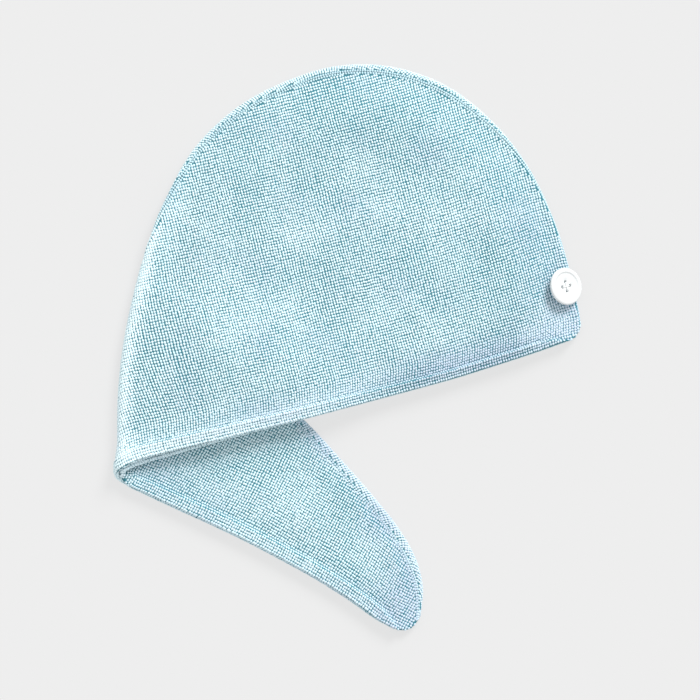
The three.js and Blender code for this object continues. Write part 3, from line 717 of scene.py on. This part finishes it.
# The ground under the loops is the same yarn, always in their shade, so it reads as deep teal gaps.
terryGround = mottledMaterial("knitted terry ground", {
    "light": "478592", "dark": "3c7784", "patch": 6, "detail": 1.0,
    "surface": {"Roughness": 0.9, "IOR": 1.5, "Specular IOR Level": 0.2}})[0]

# The towel's inner face has the same terry, seen only in the mouth, so its loops are drawn by the material: soft dots
# on the cloth's own map, paler and higher in their middle, with painted shade in the gaps between them.
insideLook = {
    "loop": "c9e6ed", "loopEnd": 0.25, "gapShade": "6fb0bd", "gapStart": 0.6,
    "spacing": 2.2, "uneven": 0.25, "relief": 0.6,  # mm between the dots, and how high they stand
    "surface": {"Roughness": 0.9, "IOR": 1.5, "Specular IOR Level": 0.3,
                "Sheen Weight": 0.3, "Sheen Roughness": 0.5},
}
terryInside, tree, inputs = newMaterial("terry inner face", insideLook["surface"])
clothMap = addNode(tree, "ShaderNodeUVMap", {"uv_map": "cloth"})
dots = addNode(tree, "ShaderNodeTexVoronoi", {
    "voronoi_dimensions": "2D", "Scale": mapUnit / insideLook["spacing"], "Randomness": insideLook["uneven"]},
    {"Vector": clothMap.outputs[0]})
ramp = addNode(tree, "ShaderNodeValToRGB", links={"Fac": dots.outputs["Distance"]})
for stop, place, colour in zip(ramp.color_ramp.elements, ("loopEnd", "gapStart"), ("loop", "gapShade")):
    stop.position, stop.color = insideLook[place], linearColour(insideLook[colour])
bump = addNode(tree, "ShaderNodeBump", {"invert": True, "Strength": 0.8, "Distance": insideLook["relief"] * mm},
               {"Height": dots.outputs["Distance"]})
tree.links.new(ramp.outputs[0], inputs["Base Color"])
tree.links.new(bump.outputs[0], inputs["Normal"])

panels = {side: addPiece(f"{side}_cloth", shellMesh(f"{side}_cloth", grids[side]), terryGround, terryInside)
          for side in ("upper", "lower")}
print("cloth shells made", [len(panel.data.polygons) for panel in panels.values()])


# ---- terry loops

# in mm where nothing else is said
loops = {
    "walePitch": 2.1,  # between columns of loops, along the hem
    "rowPitch": 2.3,  # between rows
    "rowsBelow": 10.5,  # rows that go on round the hem's edge
    "length": 2.65, "width": 2.15, "height": 1.5,  # of one loop
    "arch": 0.9,  # how far its ends bend down, times four
    "lean": 0.24,  # radians that a loop may lean by chance
    "leanSeed": 5,
    "chance": (0.08, 0.1, 0.15),  # shares by which a loop's three sizes vary by chance
    "streaks": (-0.06, 0.08, 0), "streakSize": 12, "streakLength": 0.4, "streakSeed": 5,  # and in streaks
    "jitter": 0.2,  # that it may stand off its place
    # how wales and rows wander: distance between bends, seed, and how far to the side
    "wales": [(70, 3, 0.6), (16, 7, 0.16)], "rows": [(55, 4, 0.5), (13, 8, 0.16)],
    "straightRows": 30,  # beside the hem, over which the rows come to wander
    "fuller": 0.15,  # share by which a loop is larger where the pile is full
    "seamThinner": 0.06,  # and smaller beside the seam
    "floorGap": 0.05,  # left under loops that lie on the floor
    "underSlope": -0.3, "underHeight": 3, "flattest": 0.15,  # where and how far loops are pressed flat
    "grooveHalf": 2.0,  # beside the seam, where one row of loops follows it
    "edgePitch": 2.2, "edgeMargin": 0.4,  # between the loops of that row, and at its ends
    "barePitch": 0.8, "bareReach": 26, "bareSpot": 1.8,  # search beside the fold, and the gap that is filled
    "tailMargin": 12, "mouthMargin": 24, "seamMargin": 16,  # loops nearer than this to an open edge are kept
    "perPiece": 9000,
    "seeds": {"upper": 11, "lower": 12},
}


# Finds places on a panel from places on the flat cloth.
class FlatCloth:
    def __init__(self, grid, mesh):
        columns, rows = grid["outer"].shape[:2]
        normals = np.empty(len(mesh.vertices) * 3, np.float32)
        mesh.vertex_normals.foreach_get("vector", normals)
        normals = normals.reshape(columns, 2 * rows, 3)
        turned = grid["turned"]
        solid = np.concatenate([grid["inner"][:, :turned][:, ::-1], grid["outer"]], 1)
        normal = np.concatenate([normals[:, rows:rows + turned][:, ::-1], normals[:, :rows]], 1)
        self.flat = grid["flat"].reshape(-1, 2)
        # place, outward normal, point of the pattern, and distance to the seam
        values = np.concatenate([solid, normal, grid["pattern"], grid["groove"][..., None]], -1)
        self.values = values.reshape(-1, values.shape[-1])
        index = np.arange(len(self.flat)).reshape(columns, -1)
        a, b, c, d = index[:-1, :-1], index[:-1, 1:], index[1:, 1:], index[1:, :-1]
        self.faces = np.concatenate([np.stack(corners, -1).reshape(-1, 3) for corners in ((a, b, c), (a, c, d))])
        self.tree = BVHTree.FromPolygons([(x, y, 0) for x, y in self.flat], self.faces.tolist())

    # values and the direction along the wales, for those points that lie on the cloth
    def find(self, points):
        hits = [self.tree.ray_cast((x, y, 1), (0, 0, -1))[2] for x, y in points]
        found = np.array([hit is not None for hit in hits])
        faces = self.faces[np.array([hit for hit in hits if hit is not None])]
        a, b, c = (self.flat[faces[:, k]] for k in range(3))
        p, q, r = (self.values[faces[:, k]] for k in range(3))
        area = (b - a)[:, 0] * (c - a)[:, 1] - (b - a)[:, 1] * (c - a)[:, 0]
        off = points[found] - a
        second = (off[:, 0] * (c - a)[:, 1] - off[:, 1] * (c - a)[:, 0]) / area
        third = ((b - a)[:, 0] * off[:, 1] - (b - a)[:, 1] * off[:, 0]) / area
        weights = np.stack([1 - second - third, second, third], 1)
        values = (weights[:, :, None] * np.stack([p, q, r], 1)).sum(1)
        wale = ((q - p)[:, :3] * -(c - a)[:, :1] + (r - p)[:, :3] * (b - a)[:, :1]) / area[:, None]
        return values, unit(wale)


# A node group that sets one small bean of yarn on each point of a mesh, turned by the points' attributes.
def yarnTree(name):
    tree = bpy.data.node_groups.new(name, "GeometryNodeTree")
    tree.interface.new_socket("Geometry", in_out="INPUT", socket_type="NodeSocketGeometry")
    for socket in ("Length", "Width", "Height", "Arch", "Lean"):
        tree.interface.new_socket(socket, in_out="INPUT", socket_type="NodeSocketFloat")
    for socket, kind in (("Seed", "Int"), ("Material", "Material")):
        tree.interface.new_socket(socket, in_out="INPUT", socket_type=f"NodeSocket{kind}")
    tree.interface.new_socket("Geometry", in_out="OUTPUT", socket_type="NodeSocketGeometry")
    given = addNode(tree, "NodeGroupInput").outputs

    # a round bead drawn out into a bean whose two ends bend down to the ground
    bead = addNode(tree, "GeometryNodeMeshIcoSphere", {"Radius": 0.5, "Subdivisions": 1})
    corner = addNode(tree, "GeometryNodeInputPosition")
    axes = addNode(tree, "ShaderNodeSeparateXYZ", links={0: corner.outputs[0]})
    x, y, z = axes.outputs
    factors = ((x, given["Width"]), (y, given["Length"]), (z, given["Height"]), (y, y))
    wide, long, tall, toEnd = (addNode(tree, "ShaderNodeMath", {"operation": "MULTIPLY"}, {0: a, 1: b}).outputs[0]
                               for a, b in factors)
    drop = addNode(tree, "ShaderNodeMath", {"operation": "MULTIPLY"}, {0: toEnd, 1: given["Arch"]})
    level = addNode(tree, "ShaderNodeMath", {"operation": "SUBTRACT"}, {0: tall, 1: drop.outputs[0]})
    moved = addNode(tree, "ShaderNodeCombineXYZ", links={0: wide, 1: long, 2: level.outputs[0]})
    raised = addNode(tree, "ShaderNodeMath", {"operation": "ADD", 1: 0.5}, {0: z})
    yarn = addNode(tree, "GeometryNodeStoreNamedAttribute", {"data_type": "FLOAT", "domain": "POINT", "Name": "tip"},
                   {"Geometry": bead.outputs[0], "Value": raised.outputs[0]})
    yarn = addNode(tree, "GeometryNodeSetPosition", links={"Geometry": yarn.outputs[0], "Position": moved.outputs[0]})
    yarn = addNode(tree, "GeometryNodeSetShadeSmooth", links={"Geometry": yarn.outputs[0]})

    # one on each point, upright on the cloth and along its wales
    face, wale, size = (addNode(tree, "GeometryNodeInputNamedAttribute", {"data_type": "FLOAT_VECTOR", "Name": key})
                        for key in ("face", "wale", "size"))
    upright = addNode(tree, "FunctionNodeAlignRotationToVector", {"axis": "Z"}, {"Vector": face.outputs[0]})
    turned = addNode(tree, "FunctionNodeAlignRotationToVector", {"axis": "Y", "pivot_axis": "Z"},
                     {"Rotation": upright.outputs[0], "Vector": wale.outputs[0]})
    least = addNode(tree, "ShaderNodeMath", {"operation": "MULTIPLY", 1: -1.0}, {0: given["Lean"]})
    leaning = addNode(tree, "FunctionNodeRandomValue", {"data_type": "FLOAT_VECTOR"},
                      {0: least.outputs[0], 1: given["Lean"], "Seed": given["Seed"]})
    lean = addNode(tree, "FunctionNodeEulerToRotation", links={0: leaning.outputs[0]})
    rotation = addNode(tree, "FunctionNodeRotateRotation", {"rotation_space": "LOCAL"},
                       {0: turned.outputs[0], 1: lean.outputs[0]})
    copies = addNode(tree, "GeometryNodeInstanceOnPoints", links={
        "Points": given["Geometry"], "Instance": yarn.outputs[0], "Rotation": rotation.outputs[0],
        "Scale": size.outputs[0]})
    real = addNode(tree, "GeometryNodeRealizeInstances", links={0: copies.outputs[0]})
    dressed = addNode(tree, "GeometryNodeSetMaterial", links={"Geometry": real.outputs[0],
                                                              "Material": given["Material"]})
    addNode(tree, "NodeGroupOutput", links={0: dressed.outputs[0]})
    return tree


# Runs a yarn tree over points and keeps the result as a plain mesh.
def yarnPiece(name, tree, points, vectors, floats, look, material):
    inputs = {key.capitalize(): look[key] * mm for key in ("length", "width", "height", "arch")}
    inputs.update({"Lean": look["lean"], "Seed": look["leanSeed"], "Material": material})
    mesh = bpy.data.meshes.new(name)
    mesh.vertices.add(len(points))
    mesh.vertices.foreach_set("co", np.asarray(points, np.float32).ravel())
    for kind, field, layers in (("FLOAT_VECTOR", "vector", vectors), ("FLOAT", "value", floats)):
        for key, values in layers.items():
            layer = mesh.attributes.new(key, kind, "POINT")
            layer.data.foreach_set(field, np.asarray(values, np.float32).ravel())
    maker = bpy.data.objects.new(name, mesh)
    bpy.context.collection.objects.link(maker)
    modifier = maker.modifiers.new("yarn", "NODES")
    modifier.node_group = tree
    for item in tree.interface.items_tree:
        if item.in_out == "INPUT" and item.name in inputs:
            modifier[item.identifier] = inputs[item.name]
    evaluated = maker.evaluated_get(bpy.context.evaluated_depsgraph_get())
    result = bpy.data.meshes.new_from_object(evaluated)
    bpy.data.objects.remove(maker)
    for key in vectors:
        if key in result.attributes:
            result.attributes.remove(result.attributes[key])
    # what would reach into the floor is pressed flat on it
    corners = np.empty(len(result.vertices) * 3, np.float32)
    result.vertices.foreach_get("co", corners)
    corners[2::3] = np.maximum(corners[2::3], loops["floorGap"] * mm)
    result.vertices.foreach_set("co", corners)
    result.update()
    return addPiece(name, result, material)


# A lattice of loops on the flat cloth, a little uneven. Loops are left out where the tail and the hood lie
# on each other, because nothing shows there.
def loopValues(side, flatCloth):
    low, high = flatCloth.flat.min(0), flatCloth.flat.max(0)
    furrow = grids[side]["furrow"]
    furrow = furrow[np.argsort(furrow[:, 0])].T
    u, v = np.meshgrid(np.arange(low[0], high[0], loops["walePitch"]),
                       np.arange(-loops["rowsBelow"], high[1] - low[1], 1) * loops["rowPitch"], indexing="ij")
    spots = np.stack([u, v + np.interp(u, *furrow)], -1).reshape(-1, 2)
    spots = spots[(spots[:, 1] > low[1]) & (spots[:, 1] < high[1])]
    aboveHem = smooth((spots[:, 1] - np.interp(spots[:, 0], *furrow)) / loops["straightRows"])
    across, along = (sum(slowNoise(spots, bends, seed) * amount for bends, seed, amount in loops[name])
                     for name in ("wales", "rows"))
    random = np.random.default_rng(loops["seeds"][side])
    spots = spots + np.stack([across, along * aboveHem], -1)
    spots = spots + random.uniform(-1, 1, spots.shape) * loops["jitter"]
    values, wales = flatCloth.find(spots)
    inside = values[:, 8] > loops["grooveHalf"]
    row = grids[side]["seamRow"]
    rowValues, rowWales = flatCloth.find(atPitch(row, row, loops["edgePitch"], loops["edgeMargin"]))
    values, wales = np.concatenate([values[inside], rowValues]), np.concatenate([wales[inside], rowWales])
    # the fold pulls the rows of the hem apart, so spots that they leave bare there get loops as well
    reach, pitch = loops["bareReach"], loops["barePitch"]
    fine = np.meshgrid(np.arange(-1, 1, pitch / reach) * reach, np.arange(low[1], reach, pitch), indexing="ij")
    for value, wale in zip(*flatCloth.find(np.stack(fine, -1).reshape(-1, 2))):
        nearest = np.linalg.norm(values[:, :3] - value[:3], axis=1).min() / mm
        if nearest > loops["bareSpot"] and value[8] > loops["grooveHalf"]:
            values, wales = np.concatenate([values, value[None]]), np.concatenate([wales, wale[None]])
    if side == "upper":
        return values, wales
    pattern = values[:, 6:8]
    away = fromFold(pattern)
    folded = pointFromFold(np.abs(away), alongFold(pattern))
    overTail = insideOutline(pattern, tailOutline) & (distanceToPath(pattern, tailOutline) > loops["tailMargin"])
    hidden = (away < 0) | overTail | (np.abs(away) < bendReach)
    hidden &= (folded[:, 1] > loops["mouthMargin"]) & (distanceToPath(pattern, seamLine) > loops["seamMargin"])
    return values[~hidden], wales[~hidden]


# patches where the pile has been brushed up or pressed down, as the towel lies
napPatches = {
    "upper": [
        (-150, 110, 20, 60, -30, 0.6), (-165, -60, 35, 40, 0, 0.25), (15, 175, 60, 26, -8, -0.55),
        (-130, 38, 40, 50, 0, 0.3), (-142, -4, 20, 24, 0, 0.3), (15, 65, 60, 40, 0, -0.2),
        (168, 22, 24, 20, 0, 1.2), (-80, 130, 16, 26, 20, -0.5), (105, 105, 50, 9, 0, 0.6),
        (-10, 100, 55, 10, 20, 0.45), (108, 75, 22, 45, 0, -0.5), (55, 30, 40, 7, -50, 0.5),
        (-15, 62, 30, 18, 0, -0.3), (-75, 25, 45, 20, 15, 0.35), (135, 30, 16, 30, 0, -0.4),
    ],
    "lower": [
        (-60, -130, 50, 26, -35, 0.15), (-95, -98, 50, 10, 15, -0.6), (0, -110, 22, 30, 0, -0.5),
        (25, -165, 30, 12, -50, 0.3), (-120, -105, 40, 10, -25, 0.4), (40, -205, 20, 14, -40, 0.3),
    ],
}
# how much fuller the pile is where the cloth turns over the fold and the seam, along the hem's left half and along
# the tail's edges, and how much paler its flanks are painted over the fold and the hem, as painted sheen; widths in
# mm
fuller = {"fold": 1.5, "foldWidth": 17, "seam": 0.2, "seamWidth": 10,
          "hem": 1.2, "hemReach": 210, "hemMargin": 4, "hemFade": 6,
          "tailEdge": 0.7, "tailEdgeWidth": 16, "tailStart": 20, "tailFade": 40,
          "paintedSheen": 0.4, "paintedSheenFade": 5, "uneven": 0.06, "unevenSize": 26, "seed": 9}
# painted shade in the seam's groove: how dark the loops beside the seam are coloured, in the hood and in the tail,
# how they differ by chance, and the most painted sheen
seamShade = {"hood": 0.36, "tail": 0.2, "width": 1.8, "start": 0.05, "chance": 0.14, "mostPaintedSheen": -0.5}
# painted shade: how much cooler and darker, towards lavender, the tail's edges are coloured, and how it differs in
# uneven patches and by chance, up to the most
lavenderShading = {"tailEdge": 0.55, "hemShare": 0.3, "uneven": 0.2, "unevenSize": 60, "seed": 21,
          "chance": 0.12, "most": 0.85}
# patches of painted shade, where the cloth is coloured cooler and darker, towards lavender
lavenderShadePatches = {
    "upper": [(175, 45, 34, 40, 0, 0.7), (100, -10, 90, 16, 15, 0.8), (140, 110, 20, 40, 40, 0.3),
              (-60, -50, 90, 12, 15, 0.35)],
    "lower": [(45, -205, 26, 40, -30, 0.9), (-150, -105, 30, 20, 0, 0.4), (30, -140, 20, 50, 30, 0.4)],
}


# 1 along the tail's seam and a share of that along its hem, down to 0 in its middle
def tailEdge(pattern, hemShare):
    beside = [1 - smooth(distanceToPath(pattern, line) / fuller["tailEdgeWidth"]) for line in (seamLine, hemLine)]
    past = smooth(-(fromFold(pattern) + fuller["tailStart"]) / fuller["tailFade"])
    return np.maximum(beside[0], beside[1] * hemShare) * past


def fullness(side, places, pattern):
    total = patchSum(places, napPatches[side])
    total += fuller["uneven"] * slowNoise(pattern, fuller["unevenSize"], fuller["seed"])
    away = fromFold(pattern)
    seam = fuller["seam"] * (1 - smooth(distanceToPath(pattern, seamLine) / fuller["seamWidth"]))
    fold = fuller["fold"] * (1 - smooth(np.abs(away) / fuller["foldWidth"])) * (side == "upper")
    band = 1 - smooth((pattern[:, 1] - towel["hemBand"] - fuller["hemMargin"]) / fuller["hemFade"])
    hem = fuller["hem"] * band * (1 - smooth(2 * away / fuller["hemReach"] - 1)) * (away > 0)
    edge = fuller["tailEdge"] * tailEdge(pattern, 1)
    return total + np.maximum(np.maximum(seam, fold), np.maximum(hem, edge))


def lavenderShadeAt(side, places, pattern):
    uneven = np.maximum(slowNoise(pattern, lavenderShading["unevenSize"], lavenderShading["seed"]), 0) * lavenderShading["uneven"]
    return patchSum(places, lavenderShadePatches[side]) + uneven + lavenderShading["tailEdge"] * tailEdge(pattern, lavenderShading["hemShare"])


# how far a loop's tip takes the painted shade of its flanks, in the seam's groove; below 0, over the fold and the
# hem, its flanks take the colour of its tip as painted sheen
def shadeAndSheenAt(side, pattern, toSeam):
    away = fromFold(pattern)
    share = np.where(away > 0, seamShade["hood"], seamShade["tail"])
    fold = (1 - smooth(np.abs(away) / fuller["foldWidth"])) * (side == "upper")
    band = 1 - smooth((pattern[:, 1] - towel["hemBand"]) / fuller["paintedSheenFade"])
    hem = band * (1 - smooth(away / fuller["hemReach"])) * (away > 0)
    return share * np.exp(-(toSeam / seamShade["width"]) ** 2) - fuller["paintedSheen"] * np.maximum(fold, hem)


pile = {}
pileTree = yarnTree("terry loops")
for side in ("upper", "lower"):
    values, wales = loopValues(side, FlatCloth(grids[side], panels[side].data))
    places, normals, pattern = values[:, :3], values[:, 3:6], values[:, 6:8]
    random = np.random.default_rng(loops["seeds"][side])
    chance = random.uniform(-1, 1, (len(places), 3))
    full = 1 + loops["fuller"] * fullness(side, places / mm, pattern)
    full -= loops["seamThinner"] * np.exp(-(values[:, 8] / seamShade["width"]) ** 2)
    streak = slowNoise(pattern * (1, loops["streakLength"]), loops["streakSize"], loops["streakSeed"])
    size = 1 + chance * loops["chance"] + streak[:, None] * loops["streaks"]
    size[:, :2] *= full[:, None]
    # painted shade towards lavender in patches and along the tail's edges, partly varied by chance
    lavenderShade = np.clip(lavenderShadeAt(side, places / mm, pattern) + lavenderShading["chance"] * chance[:, 0], 0, lavenderShading["most"])
    # painted shade in the seam's groove and painted sheen over the fold and the hem, with some chance
    shadeAndSheen = shadeAndSheenAt(side, pattern, values[:, 8]) + seamShade["chance"] * chance[:, 1] * chance[:, 2]
    shadeAndSheen = np.clip(shadeAndSheen + seamShade["start"], seamShade["mostPaintedSheen"], 1)
    # loops under the towel are pressed flat between the cloth and the floor
    room = (places[:, 2] / mm - loops["floorGap"]) / (loops["height"] / 2)
    pressed = (normals[:, 2] < loops["underSlope"]) & (places[:, 2] < loops["underHeight"] * mm)
    size[:, 2] = np.where(pressed, np.clip(room, loops["flattest"], size[:, 2]), size[:, 2])
    order = np.argsort(pattern[:, 0], kind="stable")
    chunks = np.array_split(order, math.ceil(len(order) / loops["perPiece"]))
    pile[side] = [yarnPiece(f"{side}_pile_{number + 1}", pileTree, places[chunk],
                            {"face": normals[chunk], "wale": wales[chunk], "size": size[chunk]},
                            {"lavenderShade": lavenderShade[chunk], "shadeAndSheen": shadeAndSheen[chunk]}, loops, terryLoops)
                  for number, chunk in enumerate(chunks)]
    print(side, "loops", len(places), [len(piece.data.polygons) for piece in pile[side]])


# ---- stitches that hold the turned hem

hemStitch = {"pitch": 3.2, "margin": 6, "length": 2.7, "width": 0.6, "height": 0.6, "arch": 0.4, "rise": 0.1,
             "lean": 0.03, "leanSeed": 2}
# Spun polyester thread in the towel's colour, a little paler than the shaded loops beside it.
sewing = mottledMaterial("polyester sewing thread", {
    "dark": "b9dfe8", "light": "d7eff5", "patch": 0.5, "detail": 1.0,
    "surface": {"Roughness": 0.55, "IOR": 1.5, "Sheen Weight": 0.1}})[0]

stitches = {}
for side in ("upper", "lower"):
    grid = grids[side]
    places, rows = grid["outer"], grid["outer"].shape[1]
    bandPlaces = np.linspace(cloth["rimRound"], towel["hemBand"], cloth["bandRows"])
    row = meshing["rimRows"] + int(np.argmin(np.abs(bandPlaces - cloth["stitchRow"])))
    line = places[:, row] / mm
    normals = np.empty(len(panels[side].data.vertices) * 3, np.float32)
    panels[side].data.vertex_normals.foreach_get("vector", normals)
    normals = normals.reshape(len(line), 2 * rows, 3)[:, row]
    centres, faces = (atPitch(line, values, hemStitch["pitch"], hemStitch["margin"]) for values in (line, normals))
    ahead, faces = unit(np.gradient(centres, axis=0)), unit(faces)
    stitches[side] = yarnPiece(f"{side}_hem_stitches", pileTree, (centres + faces * hemStitch["rise"]) * mm,
                               {"face": faces, "wale": ahead, "size": np.ones_like(centres)}, {}, hemStitch, sewing)
print("hem stitches", [len(piece.data.polygons) for piece in stitches.values()])


# ---- button and its thread

# in mm and degrees
button = {
    "radius": 15, "thickness": 3.8, "edge": 0.7, "backRound": 2.4, "faceRound": 1.6,
    "dishRadius": 11.2, "dishDepth": 1.1, "dishSlope": 0.55, "sides": 128, "roundSteps": 5,
    "holeRadius": 1.15, "holeFlare": 0.35, "holeSpread": 3.7, "holeSides": 32, "tilt": 35, "turn": 12,
}
# corners of the button's profile as radius and height, each with the radius of its rounding
half = button["thickness"] / 2
profileCorners = [
    (0, -half, 0), (button["radius"] - button["backRound"], -half, 1.2),
    (button["radius"] - button["edge"] / 2, -half + button["edge"], 0.8),
    (button["radius"], 0, 0.6), (button["radius"] - button["edge"] / 2, half - button["edge"], 0.5),
    (button["radius"] - button["faceRound"], half, 0.6), (button["dishRadius"] + button["dishSlope"], half, 0.5),
    (button["dishRadius"] - button["dishSlope"], half - button["dishDepth"], 0.8), (0, half - button["dishDepth"], 0),
]


# points along the profile, its corners rounded by short quadratic curves
def roundedProfile(corners):
    mostOfSide = 0.45
    points = []
    for index, (radius, height, rounding) in enumerate(corners):
        here = np.array([radius, height], float)
        if rounding == 0:
            points.append(here)
            continue
        before, after = (np.array(corners[index + shift][:2], float) for shift in (-1, 1))
        start, end = (here + (side - here) * min(mostOfSide, rounding / np.linalg.norm(side - here))
                      for side in (before, after))
        for share in np.linspace(0, 1, button["roundSteps"] + 1):
            points.append((1 - share) ** 2 * start + 2 * share * (1 - share) * here + share ** 2 * end)
    return points


# a closed body turned about Z from points of radius and height, the first and last of them on the axis
def turnedMesh(name, profile, sides):
    points, faces = [(0, 0, profile[0][1])], []
    inner = profile[1:-1]
    for radius, height in inner:
        points += [(radius * math.cos(math.tau * s / sides), radius * math.sin(math.tau * s / sides), height)
                   for s in range(sides)]
    points.append((0, 0, profile[-1][1]))

    def ring(level, s):
        return 1 + level * sides + s % sides

    for s in range(sides):
        faces.append((0, ring(0, s + 1), ring(0, s)))
        faces.append((len(points) - 1, ring(len(inner) - 1, s), ring(len(inner) - 1, s + 1)))
        faces += [(ring(level, s), ring(level, s + 1), ring(level + 1, s + 1), ring(level + 1, s))
                  for level in range(len(inner) - 1)]
    return plainMesh(name, points, faces)


tilted = Matrix.Rotation(math.radians(button["turn"]), 4, "Z")
tilted = tilted @ Matrix.Rotation(math.radians(button["tilt"]), 4, "Y")
blankMesh = turnedMesh("button blank", roundedProfile(profileCorners), button["sides"])
blank = bpy.data.objects.new("button blank", blankMesh)
bpy.context.collection.objects.link(blank)
# hourglass cutters leave rounded rims at the holes; one end's corners, by how far they stand out and by radius
top, low = half - button["dishDepth"], -half
narrow, wide = button["holeRadius"], button["holeRadius"] + button["holeFlare"]
cutterEnd = [(1, 0), (1, wide + 0.4), (0, wide), (-0.3, narrow + 0.1), (-0.7, narrow)]
cutterProfile = [(radius, low - out) for out, radius in cutterEnd]
cutterProfile += [(radius, top + out) for out, radius in cutterEnd[::-1]]
for turn in (0, 90, 180, 270):
    x, y = (button["holeSpread"] * share for share in (math.cos(math.radians(turn)), math.sin(math.radians(turn))))
    cutter = bpy.data.objects.new("cutter", turnedMesh("cutter", cutterProfile, button["holeSides"]))
    cutter.data.transform(Matrix.Translation((x, y, 0)))
    bpy.context.collection.objects.link(cutter)
    cut = blank.modifiers.new("hole", "BOOLEAN")
    cut.operation, cut.solver, cut.object = "DIFFERENCE", "EXACT", cutter
    drilled = bpy.data.meshes.new_from_object(blank.evaluated_get(bpy.context.evaluated_depsgraph_get()))
    blank.modifiers.remove(cut)
    blank.data = drilled
    bpy.data.objects.remove(cutter)
drilled.transform(tilted)
drilled.transform(Matrix.Scale(mm, 4))
corners = np.array([vertex.co for vertex in drilled.vertices])
nodeLow, nodeHigh = (np.array(corner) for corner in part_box("button"))
buttonHome = Vector((nodeLow + nodeHigh) / 2 - (corners.min(0) + corners.max(0)) / 2)
drilled.transform(Matrix.Translation(buttonHome))
drilled.shade_smooth()

# Moulded polyester, tumbled to a soft shine: white all through, with a faint cloudiness and fine scratches.
buttonLook = {
    "light": "dfe2e2", "dark": "d9dcdd", "patch": 6, "detail": 3.0, "scratch": 0.4, "scratchDepth": 0.05,
    "surface": {"Roughness": 0.32, "IOR": 1.54, "Specular IOR Level": 0.4},
}
polyester, tree, inputs, place = mottledMaterial("moulded polyester button", buttonLook)
grain = addNode(tree, "ShaderNodeTexNoise", {"Scale": 1 / (buttonLook["scratch"] * mm), "Detail": 2.0},
                {"Vector": place})
bump = addNode(tree, "ShaderNodeBump", {"Strength": 0.06, "Distance": buttonLook["scratchDepth"] * mm},
               {"Height": grain.outputs["Fac"]})
tree.links.new(bump.outputs[0], inputs["Normal"])
bpy.data.objects.remove(blank)
buttonPiece = addPiece("coat_button", drilled, polyester)

# White polyester thread: matt, with a faint sheen, a little whiter than the button's dish.
whiteThread = mottledMaterial("white polyester thread", {
    "dark": "e6e9ea", "light": "f4f6f6", "patch": 0.35, "detail": 1.0,
    "surface": {"Roughness": 0.6, "IOR": 1.5, "Sheen Weight": 0.1}})[0]

# in mm: the strands over the dish, how high the second pair crosses the first, and the wound shank below
sewn = {"radius": 0.22, "apart": 0.26, "crossing": 0.32, "below": 0.9,
        "shankRadius": 1.7, "windingRadius": 1.25, "windings": 6, "steps": 12, "thicker": 1.7}


# routes of the thread: twice through each pair of holes over the dish, and wound round below as a shank
def threadRoutes():
    routes = []
    reach, above, below = button["holeSpread"], top + sewn["radius"] + 0.05, low - sewn["below"]
    for turn, rise in ((0, 0), (90, sewn["crossing"])):
        cos, sin = math.cos(math.radians(turn)), math.sin(math.radians(turn))
        oneSide = [(reach - 0.2, below), (reach - 0.1, 0), (reach - 0.35, top - 0.1), (reach - 0.9, above + 0.1),
                   (reach / 2, above + 0.12 + rise / 2)]
        path = [(-a, h) for a, h in oneSide] + [(0, above + 0.15 + rise)] + oneSide[::-1]
        for shift in (-sewn["apart"], sewn["apart"]):
            routes.append([(a * cos - shift * sin, a * sin + shift * cos, h) for a, h in path])
    seatHeight = ((nodeLow + nodeHigh) / 2)[2] / mm
    foot = (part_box("button_thread")[0][2] / mm - seatHeight + sewn["shankRadius"] * tilted[0][2]) / tilted[2][2]
    shank = []
    for step in range(sewn["windings"] * sewn["steps"] + 1):
        share, angle = step / (sewn["windings"] * sewn["steps"]), math.tau * step / sewn["steps"]
        shank.append((sewn["windingRadius"] * math.cos(angle), sewn["windingRadius"] * math.sin(angle),
                      below + (foot - below) * share))
    return routes + [shank]


routes = threadRoutes()
threadCurve = bpy.data.curves.new("thread", "CURVE")
threadCurve.dimensions = "3D"
threadCurve.bevel_depth = sewn["radius"]
threadCurve.bevel_resolution = 2
threadCurve.use_fill_caps = True
for number, route in enumerate(routes):
    spline = threadCurve.splines.new("NURBS")
    spline.points.add(len(route) - 1)
    for point, (x, y, z) in zip(spline.points, route):
        point.co = (x, y, z, 1)
        point.radius = sewn["thicker"] if number == len(routes) - 1 else 1
    spline.use_endpoint_u = True
    spline.order_u = 3
    spline.resolution_u = 4
threadObject = bpy.data.objects.new("thread", threadCurve)
bpy.context.collection.objects.link(threadObject)
threadMesh = bpy.data.meshes.new_from_object(threadObject.evaluated_get(bpy.context.evaluated_depsgraph_get()))
bpy.data.objects.remove(threadObject)
threadMesh.transform(tilted)
threadMesh.transform(Matrix.Scale(mm, 4))
threadMesh.transform(Matrix.Translation(buttonHome))
threadMesh.shade_smooth()
threadPiece = addPiece("button_sewing", threadMesh, whiteThread)
print("button and thread made", len(drilled.polygons), len(threadMesh.polygons))


# ---- pieces hung under the root, with the imported parts they take the place of hidden

for side in ("upper", "lower"):
    pieces = [panels[side], stitches[side]] + pile[side]
    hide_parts(f"{side}_panel")
    for piece in pieces:
        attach(piece, "root")
for piece, node, slot in ((buttonPiece, "button", "button"), (threadPiece, "button_thread", "thread")):
    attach(piece, "root")
    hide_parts(node)

low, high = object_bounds()
